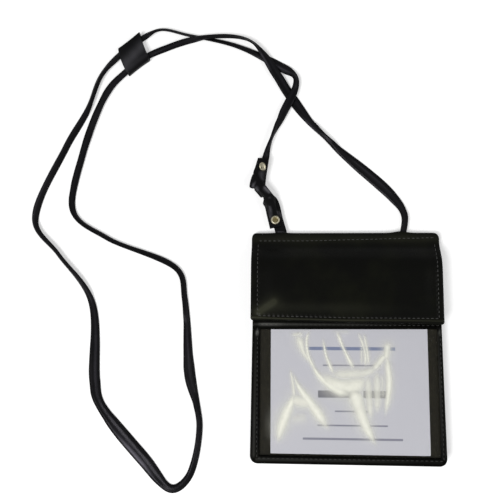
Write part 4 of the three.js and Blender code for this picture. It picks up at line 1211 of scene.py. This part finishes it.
back_skin = panel("back_skin", body_sides(0.0), BOTTOM_Y, HEM_TOP_Y, 0.0, 1.0, corners=(BODY_CORNER, 4.2), edge=0.9,
                  top_roll=0.15, under_roll=0.55, step=1.6, shape=back_rows)
holder_piece(back_skin, "back_panel", black_leather)
low_x, high_x, low_y = body_half_width(BOTTOM_Y) - SEAM_IN, body_half_width(HEM_TOP_Y) - SEAM_IN, BOTTOM_Y + SEAM_IN
back_thread = stitch_rows("back_thread", [
    back_row((-high_x, 70.5), (-low_x, low_y)),
    back_row((high_x, 70.5), (low_x, low_y)),
    back_row((-low_x, low_y), (low_x, low_y)),
    back_row((-high_x, HEM_STITCH_Y), (high_x, HEM_STITCH_Y)),
], radius=0.2, lift=-0.1)
back_thread.location.z = 0.00012
back_thread.data.materials.append(dark_thread.material)
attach(back_thread, "holder")
print("back skin points:", len(back_skin.data.vertices))

# %% [markdown]
# Gussets close the sides. Each is a strip of leather folded inwards along its middle like a bellows, so that
# the compartment can open. The bottom is a plain turned strip. Near the rounded corners the strips follow the
# corner's arc.
# %% Gussets


def corner_inset(y):
    """How far a bottom corner's arc has left the straight side at a height y."""
    reach = np.clip(BOTTOM_Y + BODY_CORNER - y, 0, BODY_CORNER)
    return BODY_CORNER - math.sqrt(BODY_CORNER ** 2 - reach ** 2)


def rounded_sides(y):
    half = body_half_width(y) - corner_inset(y)
    return -half, half


def gusset(side):
    """A strip folded inwards along its middle; side is -1 on the left and 1 on the right."""
    foot, fold, low, high = 1.3, 3.0, 1.0, 7.6
    rise = (high - low) / 2
    bend = np.linspace(0, 1, 9)
    inward = fold * np.sin(np.pi * bend / 2) ** 1.3
    line = [(i, low + rise * b) for i, b in zip(inward, bend)]
    line += [(i, high - rise * b) for i, b in zip(inward[::-1][1:], bend[::-1][1:])]
    levels = np.linspace(BOTTOM_Y + 2.5, DIVIDER_TOP_Y, 40)
    outer = np.array([[(side * (rounded_sides(y)[1] - i), y, z) for i, z in line[::side]] for y in levels])
    inner = np.array([[(side * (body_half_width(y) - i - foot), y, z) for i, z in line[::side]] for y in levels])
    return closed_sheet("left_side_fold" if side < 0 else "right_side_fold", outer, inner)


holder_piece(gusset(-1), "left_gusset", edge_leather)
holder_piece(gusset(1), "right_gusset", edge_leather)
holder_piece(panel("bottom_fold", rounded_sides, BOTTOM_Y, BOTTOM_Y + 2.2, 1.0, 7.6, edge=0.4, top_roll=0.3,
                   under_roll=0.3), "bottom_gusset", edge_leather)
print("gussets leave the corner by", round(corner_inset(BOTTOM_Y + 2.5), 2), "mm")

# %% [markdown]
# ## Inside the flap
# The flap is stiff because it holds a board, soft because of a thin foam over that, and clean inside because a
# woven lining closes it. The lining follows the skin up the rise, a little under it, and bends with it. Two
# strips of hook-and-loop tape keep the flap shut.
# %% Flap lining, padding and tapes
FLAP_INNER_HALF = 64.9
FILL_LOW_Y, FILL_HIGH_Y = 17.9, 51.3
LINING_UNDER_Z, LINING_OVER_Z = 11.7, 12.0


def slanted_panel(x, y, top, under):
    return x, y - slant(x, y), top, under


holder_piece(panel("flap_foam", straight(-FLAP_INNER_HALF, FLAP_INNER_HALF), FILL_LOW_Y, FILL_HIGH_Y, 12.8, 13.35,
                   edge=0.3, shape=slanted_panel), "flap_padding", foam_finish, "flap")
lining_rows = np.concatenate([[FILL_LOW_Y], np.linspace(20, 50, 14), np.linspace(FILL_HIGH_Y, 72.9, 28)])
lining_x, lining_y = np.meshgrid(spread(-FLAP_INNER_HALF, FLAP_INNER_HALF, 0.5, 6.0), lining_rows)
lining_over, lining_under = (np.dstack([lining_x, lining_y - slant(lining_x, lining_y), height]) for height in (
    np.minimum(flap_base(lining_y) - 1.1, LINING_OVER_Z), np.minimum(flap_base(lining_y) - 1.45, LINING_UNDER_Z)))
flap_lining_sheet = closed_sheet("flap_lining_sheet", lining_over, lining_under)
flap_lining_sheet.data.materials.append(lining_finish.material)
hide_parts("flap_lining")
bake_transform(flap_lining_sheet)
for name, node, low_z, body in (("loop_strip", "loop_tape", 10.2, "holder"), ("hook_strip", "hook_tape", 11.1, "flap")):
    strip_of_tape = panel(name, straight(-30, 30), 19.6, 27.6, low_z, low_z + 0.6, edge=0.3, corners=(1, 1), step=1.0)
    holder_piece(strip_of_tape, node, tape_finish, body)
print("flap is filled and lined")

# %% [markdown]
# ## Tabs and rivets
# Two strips of leather are folded round each other like links of a chain and closed by rivets. Each is a band
# with a rounded section, carried through the same stations as the solid tabs, from its root over its fold. The
# four layers that cross in the link lie one pitch apart.
# %% Places of the tabs
TAB_LEATHER = 1.2
TAB_PITCH = 1.8
LAYER_GAP = 0.3
LOWER_TAB_WIDTH, UPPER_TAB_WIDTH = 8.4, 8.0
UPPER_BOTTOM_Z = 1.4
LOWER_BOTTOM_Z, UPPER_TOP_Z, LOWER_TOP_Z = (UPPER_BOTTOM_Z + k * TAB_PITCH for k in (1, 2, 3))
LOWER_CLOSED_Z = LOWER_BOTTOM_Z + TAB_LEATHER + LAYER_GAP


def unit(*vector):
    return np.array(vector) / np.linalg.norm(vector)


def right_of(direction):
    return np.array([direction[1], -direction[0]])


lower_root, lower_rivet, lower_bend = np.array([(-45.4, 80.0), (-49.6, 89.3), (-53.0, 103.6)])
upper_end, upper_rivet = np.array([(-58.5, 135.4), (-58.8, 128.5)])
upper_direction, lower_direction = unit(-0.138, -0.990), unit(-0.645, 0.764)
lower_side, upper_side = right_of(lower_direction), -right_of(upper_direction)
upper_fold = lower_bend + lower_direction * 10.5 - lower_side * 1.4
lower_fold = lower_bend + lower_direction * 19.0
lower_crease = unit(-0.243, -0.970)
rivet_direction = unit(*(lower_bend - lower_rivet))
bend_direction = unit(*(rivet_direction + lower_direction))
before_bend = lower_bend - rivet_direction * 3.5
after_bend = lower_bend + lower_direction * 4.5
print("tab folds:", upper_fold.round(1), lower_fold.round(1))

# %% Band of leather


def band_station(point, z, half, rise=0.0):
    return (*point, z, *half, rise)


def fold_round(middle, outward, z, half):
    """Stations half way round a fold, from the layer below to the layer above."""
    turns = np.pi * (np.linspace(0, 1, 7) - 0.5)
    return [band_station(middle + outward * np.cos(t) * TAB_PITCH, z + np.sin(t) * TAB_PITCH, half) for t in turns]


def leather_band(name, stations, step=0.7):
    """A band of padded leather; a station is x, y, z and its half width as a vector, which may rise to one side."""
    line, _ = smooth_line(np.array(stations), step)
    centre, half = line[:, :3], line[:, 3:]
    up = np.cross(np.gradient(centre, axis=0), half)
    up /= np.linalg.norm(up, axis=1, keepdims=True)
    section = [(-1, -0.15), (-0.97, 0.15), (-0.88, 0.36), (-0.72, 0.52), (-0.5, 0.64), (-0.2, 0.72), (0.2, 0.72),
               (0.5, 0.64), (0.72, 0.52), (0.88, 0.36), (0.97, 0.15), (1, -0.15), (0.97, -0.36), (0.88, -0.5),
               (0.3, -0.5), (-0.3, -0.5), (-0.88, -0.5), (-0.97, -0.36)]
    points = np.concatenate([[c + h * s + u * t * TAB_LEATHER for s, t in section]
                             for c, h, u in zip(centre, half, up)])
    count, around = len(line), len(section)
    faces = [(r * around + k, r * around + (k + 1) % around, (r + 1) * around + (k + 1) % around, (r + 1) * around + k)
             for r in range(count - 1) for k in range(around)]
    faces += [tuple(reversed(range(around))), tuple((count - 1) * around + k for k in range(around))]
    return make_mesh(name, points, faces)


def lower_half(direction):
    return right_of(direction) * LOWER_TAB_WIDTH / 2


def aside(point, distance):
    """A point moved to the right of the lower tab's closed part."""
    return point + right_of(rivet_direction) * distance


print("stations round a fold:", len(fold_round(lower_fold, lower_side, 0.0, lower_side)))

# %% [markdown]
# The lower tab comes out of the hem, bends to the left, turns back in its fold and ends under the rivet. Its two
# layers don't lie quite over each other: the upper one is shifted to the left, as hand-closed leather is.
# %% Lower tab
UNDER_SHIFT, OVER_SHIFT = 1.5, -1.0
lower_fold_half = -lower_crease * LOWER_TAB_WIDTH / 2 / abs(lower_crease @ lower_side)
root_half = right_of((0, 1)) * LOWER_TAB_WIDTH / 2
rivet_half = lower_half(rivet_direction)
lower_band = leather_band("lower_tab_leather", [
    band_station(lower_root - (0, 4.8), LOWER_BOTTOM_Z, root_half),
    band_station(lower_root + (0, 0.05), LOWER_BOTTOM_Z, root_half),
    band_station(aside(lower_rivet, UNDER_SHIFT), LOWER_BOTTOM_Z, rivet_half),
    band_station(aside(before_bend, UNDER_SHIFT), LOWER_BOTTOM_Z, rivet_half),
    band_station(aside(lower_bend, UNDER_SHIFT / 2), LOWER_BOTTOM_Z, lower_half(bend_direction)),
    band_station(after_bend + lower_side * 1.4, LOWER_BOTTOM_Z, lower_side * 2.8),
    band_station(lower_bend + lower_direction * 13.5 + lower_side * 1.3, LOWER_BOTTOM_Z, lower_side * 2.9),
    *fold_round(lower_fold, right_of(-lower_crease) * -1, UPPER_TOP_Z, lower_fold_half),
    band_station(after_bend + lower_side * 0.6, LOWER_TOP_Z, lower_half(lower_direction) * 0.86),
    band_station(aside(lower_bend, OVER_SHIFT * 1.2), LOWER_TOP_Z - TAB_PITCH / 3, lower_half(bend_direction) * 1.17),
    band_station(aside(before_bend, OVER_SHIFT), LOWER_CLOSED_Z + TAB_PITCH / 3, rivet_half),
    *(band_station(aside(lower_rivet + rivet_direction * run, OVER_SHIFT), LOWER_CLOSED_Z, rivet_half)
      for run in (5.2, 0.0, -5.2)),
])
holder_piece(lower_band, "lower_tab", tab_leather)
print("lower tab points:", len(lower_band.data.vertices))

# %% Upper tab
upper_half = -right_of(upper_direction) * UPPER_TAB_WIDTH / 2
upper_fold_half = -lower_direction * UPPER_TAB_WIDTH / 2


def upper_station(run, shift, z, wider, rise=0.0):
    point = upper_end + upper_direction * run - upper_side * shift
    return band_station(point, z, upper_half * wider, rise)


upper_band = leather_band("upper_tab_leather", [
    upper_station(0.0, 0.0, UPPER_BOTTOM_Z, 1.0),
    upper_station(6.0, 0.5, UPPER_BOTTOM_Z, 1.12),
    upper_station(11.8, 0.9, UPPER_BOTTOM_Z, 1.2),
    *fold_round(upper_fold, -lower_side, LOWER_BOTTOM_Z, upper_fold_half),
    upper_station(12.2, 0.9, UPPER_TOP_Z, 1.2, 0.3),
    upper_station(6.6, 0.5, UPPER_TOP_Z, 1.12, 1.8),
    upper_station(0.0, 0.0, UPPER_TOP_Z, 1.0, 1.6),
])
holder_piece(upper_band, "upper_tab", tab_leather)
print("upper tab points:", len(upper_band.data.vertices))

# %% [markdown]
# Highlights are painted on the tabs where they bend and where they stand out over the link. Each streak is a line of
# points on the table, a half width and a level, and only the top of the band takes it.
# %% Painted highlights of the tabs
HIGHLIGHT_OVER_Z = 3.0


def paint_band_highlights(band, lines):
    spots = np.array([v.co for v in band.data.vertices]) / MM
    streaks = [(line, (half,) * len(line), level) for line, half, level in lines]
    # A paler colour along each line, on the top of the band only, paints a highlight.
    painted_highlight = crease_and_highlight_field(spots[:, 0], spots[:, 1], streaks)
    mark(band, "painted_highlight", (1.4 * painted_highlight - 0.3) * (spots[:, 2] > HIGHLIGHT_OVER_Z))


paint_band_highlights(lower_band, [
    ([(-64.3, 116.1), (-65.5, 115.1), (-65.6, 113.3)], 0.9, 0.75),
    ([(-63.9, 113.3), (-62.6, 111.6), (-62.4, 110.1)], 1.1, 0.6),
    ([(-57.8, 114.0), (-56.5, 111.9), (-54.7, 110.2), (-53.0, 108.4)], 1.0, 1.0),
    ([(-58.8, 106.1), (-57.9, 105.1)], 0.6, 1.0),
    ([(-55.0, 105.6), (-52.3, 105.0)], 0.7, 0.45),
    ([(-54.0, 100.9), (-53.4, 95.3), (-52.6, 88.5)], 0.8, 0.7),
    ([(-47.9, 96.5), (-46.4, 93.6), (-45.4, 91.0)], 0.9, 1.0),
    ([(-48.6, 80.7), (-43, 80.7)], 0.6, 0.6),
])
paint_band_highlights(upper_band, [
    ([(-58.7, 126.5), (-59.0, 121.5), (-59.4, 117.0)], 0.9, 0.75),
    ([(-61.8, 133), (-63.4, 126)], 0.6, 0.45),
])
print("tabs are folded")

# %% [markdown]
# ## Rivet caps
# Each rivet has a pressed cap with a raised rim and a dished middle. A profile turned about the rivet's axis
# gives it. The upper cap was pressed home askew, so that part of its profile is tilted to the left.
# %% Rivet helpers
CAP_TOP = [(3.2, 0.0), (3.24, 0.2), (3.12, 0.5), (2.9, 0.75), (2.6, 0.95), (2.3, 1.07), (2.08, 1.05), (1.88, 0.86),
           (1.7, 0.70), (1.2, 0.66), (0.6, 0.70), (0.0, 0.72)]
SHAFT_RADIUS = 1.5
TILT_AXIS = Vector((0.45, -0.89, 0.0))


def turned(name, point, profile, seat=0.0, tilt=0.0, sides=40):
    """A profile of radius and height, turned about a vertical axis; what is over the seat is tilted."""
    points, rings = [], []
    tip_over = Matrix.Rotation(tilt, 3, TILT_AXIS)
    for radius, z in profile:
        ring = []
        for k in range(sides if radius > 1e-6 else 1):
            angle = 2 * np.pi * k / sides
            x, y, high = radius * np.cos(angle), radius * np.sin(angle), z - seat
            if high > 0 or (z > seat - 0.4 and radius > 1.6):
                x, y, high = tip_over @ Vector((x, y, high))
            ring.append(len(points))
            points.append((point[0] + x, point[1] + y, seat + high))
        rings.append(ring)
    faces = []
    for low, high in zip(rings, rings[1:]):
        for k in range(sides):
            a, b = low[k % len(low)], low[(k + 1) % len(low)]
            c, d = high[(k + 1) % len(high)], high[k % len(high)]
            faces.append(tuple(dict.fromkeys((a, b, c, d))))
    return make_mesh(name, points, faces)


def cap_profile(low, seat):
    return [(0.0, low), (SHAFT_RADIUS, low), (SHAFT_RADIUS, seat), *((r, seat + h) for r, h in CAP_TOP)]


def back_profile(seat):
    return [(0.0, seat - 0.7), (2.7, seat - 0.7), (3.1, seat - 0.55), (3.2, seat - 0.25), (3.15, seat), (0.0, seat)]


print("points of a cap's profile:", len(cap_profile(0.0, 1.0)))

# %% [markdown]
# The metal is a nickel plate gone slightly yellow. It is darker in the dish of the lower cap, where polish never
# reaches, so those faces get a finish of their own.
# %% Rivets
DISH_RADIUS = 2.0
rivet_finish, rivet_tarnish = grained("rivet_metal", (0.34, 0.32, 0.245), (0.20, 0.18, 0.115), (700.0, 3.0, 0.6), None,
                                      steps=(0.35, 0.75), Metallic=1.0)
rivet_finish.set("Roughness", 0.38 + 0.14 * rivet_tarnish)
dish_finish, dish_tarnish = grained("rivet_dish", (0.16, 0.135, 0.07), (0.075, 0.06, 0.025), (500.0, 3.0, 0.6), None,
                                    steps=(0.3, 0.7), Metallic=1.0)
dish_finish.set("Roughness", 0.42 + 0.2 * dish_tarnish)
rivets = (
    ("lower", lower_rivet, LOWER_BOTTOM_Z - TAB_LEATHER / 2, LOWER_CLOSED_Z + TAB_LEATHER / 2 + 0.2, 0.0),
    ("upper", upper_rivet, UPPER_BOTTOM_Z - TAB_LEATHER / 2, UPPER_TOP_Z + TAB_LEATHER / 2 + 1.2, math.radians(50)),
)
for which, point, low, seat, tilt in rivets:
    cap = turned(which + "_cap_dish", point, cap_profile(low, seat), seat, tilt)
    holder_piece(cap, which + "_rivet_cap", rivet_finish)
    cap.data.materials.append(dish_finish.material)
    if which == "lower":
        for face in cap.data.polygons:
            x, y, z = face.center / MM
            face.material_index = int(math.hypot(x - point[0], y - point[1]) < DISH_RADIUS and z > seat)
    holder_piece(turned(which + "_cap_foot", point, back_profile(low)), which + "_rivet_back", rivet_finish)
print("rivets:", len(rivets))

# %% [markdown]
# ## Keeper
# The keeper is a flat sleeve round both strands. Its top hangs a little between them, its long side slopes from
# end to end, and its ends are cut askew and both curve towards the same side. It is a loop of section points
# carried along, out over the outside and back through the inside, with a rounded rim where it turns in.
# %% Section of the keeper
KEEPER_LENGTH, KEEPER_WIDTH, KEEPER_HEIGHT, KEEPER_WALL = 20.7, 22.6, 4.8, 1.1


def sleeve_loop(half, low, high, radius, sag):
    """Section of the sleeve: points round a flat rounded box whose top hangs in the middle."""
    shares = np.linspace(-1, 1, 15)
    bends = np.linspace(0, np.pi / 2, 6)[1:-1]
    flat, top, foot = half - radius, high - radius, low + radius
    loop = [(s * flat, high - sag * (1 - s * s) ** 1.5) for s in shares]
    loop += [(flat + radius * np.sin(t), top + radius * np.cos(t)) for t in bends]
    loop += [(half, top), (half, foot)]
    loop += [(flat + radius * np.cos(t), foot - radius * np.sin(t)) for t in bends]
    loop += [(-s * flat, low) for s in shares]
    loop += [(-flat - radius * np.sin(t), foot - radius * np.cos(t)) for t in bends]
    loop += [(-half, foot), (-half, top)]
    loop += [(-flat - radius * np.cos(t), top + radius * np.sin(t)) for t in bends]
    return np.array(loop)


outer_loop = sleeve_loop(KEEPER_WIDTH / 2, 0.0, KEEPER_HEIGHT, 1.6, 0.55)
inner_loop = sleeve_loop(KEEPER_WIDTH / 2 - KEEPER_WALL, KEEPER_WALL, KEEPER_HEIGHT - KEEPER_WALL, 1.05, 0.5)
rim_loop = (outer_loop + inner_loop) / 2
print("points round the keeper:", len(outer_loop))

# %% Sleeve of the keeper
KEEPER_SHEAR = 0.28
RIM_INSET = 0.35
END_BOW = 1.0
START_BOW = 1.2
CORNER_CUT = 1.3
reach = KEEPER_LENGTH / 2
side_share = outer_loop[:, 0] / (KEEPER_WIDTH / 2)
middle_bow = 1 - side_share ** 2
corner_cut = CORNER_CUT * np.clip((-side_share - 0.86) / 0.14, 0, 1) ** 2
sleeve_stations = [(outer_loop, s * (reach - RIM_INSET)) for s in np.linspace(-1, 1, 15)]
sleeve_stations += [(rim_loop, reach)] + [(inner_loop, s * (reach - RIM_INSET)) for s in np.linspace(1, -1, 15)]
sleeve_stations += [(rim_loop, -reach)]
sleeve_points = []
for loop, run in sleeve_stations:
    waist = 1 - 0.03 * (1 - (run / reach) ** 2)
    near_end, far_end = np.clip(-run / reach, 0, 1), np.clip(run / reach, 0, 1)
    for (side, z), bow, trim in zip(loop, middle_bow, corner_cut):
        on_top = np.clip((z - 2.4) / 1.2, 0, 1)
        ripple = 0.22 * math.sin(2 * math.pi * (run + 0.55 * side) / 8.5 + 0.6) * (1 - (side / 11.3) ** 2)
        z = z + on_top * (0.42 * (run / reach + 1) + ripple)
        spot = keeper_middle + (keeper_across + keeper_along * KEEPER_SHEAR) * side * waist
        spot = spot + keeper_along * (run - bow * (END_BOW * far_end + START_BOW * near_end) - trim * far_end)
        sleeve_points.append((*spot, z))
around, along_count = len(outer_loop), len(sleeve_stations)
sleeve_faces = []
for r in range(along_count):
    here, there = r * around, (r + 1) % along_count * around
    for k in range(around):
        after = (k + 1) % around
        sleeve_faces.append((here + k, here + after, there + after, there + k))
keeper_sleeve = make_mesh("keeper_sleeve", sleeve_points, sleeve_faces)
holder_piece(keeper_sleeve, "slide_keeper", tab_leather, "keeper")
print("keeper faces:", len(sleeve_faces))

# %% Painted highlight of the keeper
KEEPER_HIGHLIGHT = 0.36
keeper_spots = np.array(sleeve_points)
keeper_offset = keeper_spots[:, :2] - keeper_middle
highlight_across, highlight_along = keeper_offset @ keeper_across, keeper_offset @ keeper_along
# A paler band along the middle of the keeper's top, and a thin one near one long side, paint its highlight.
highlight_streak = valley(highlight_across - 0.18 * highlight_along + 1.0, 4.2) + 0.35 * valley(highlight_across + 7.5, 1.6)
mark(keeper_sleeve, "painted_highlight", highlight_streak * np.clip((keeper_spots[:, 2] - 3.6) / 0.8, 0, 1) * KEEPER_HIGHLIGHT)
print("palest mark on the keeper:", round(float(highlight_streak.max() * KEEPER_HIGHLIGHT), 2))
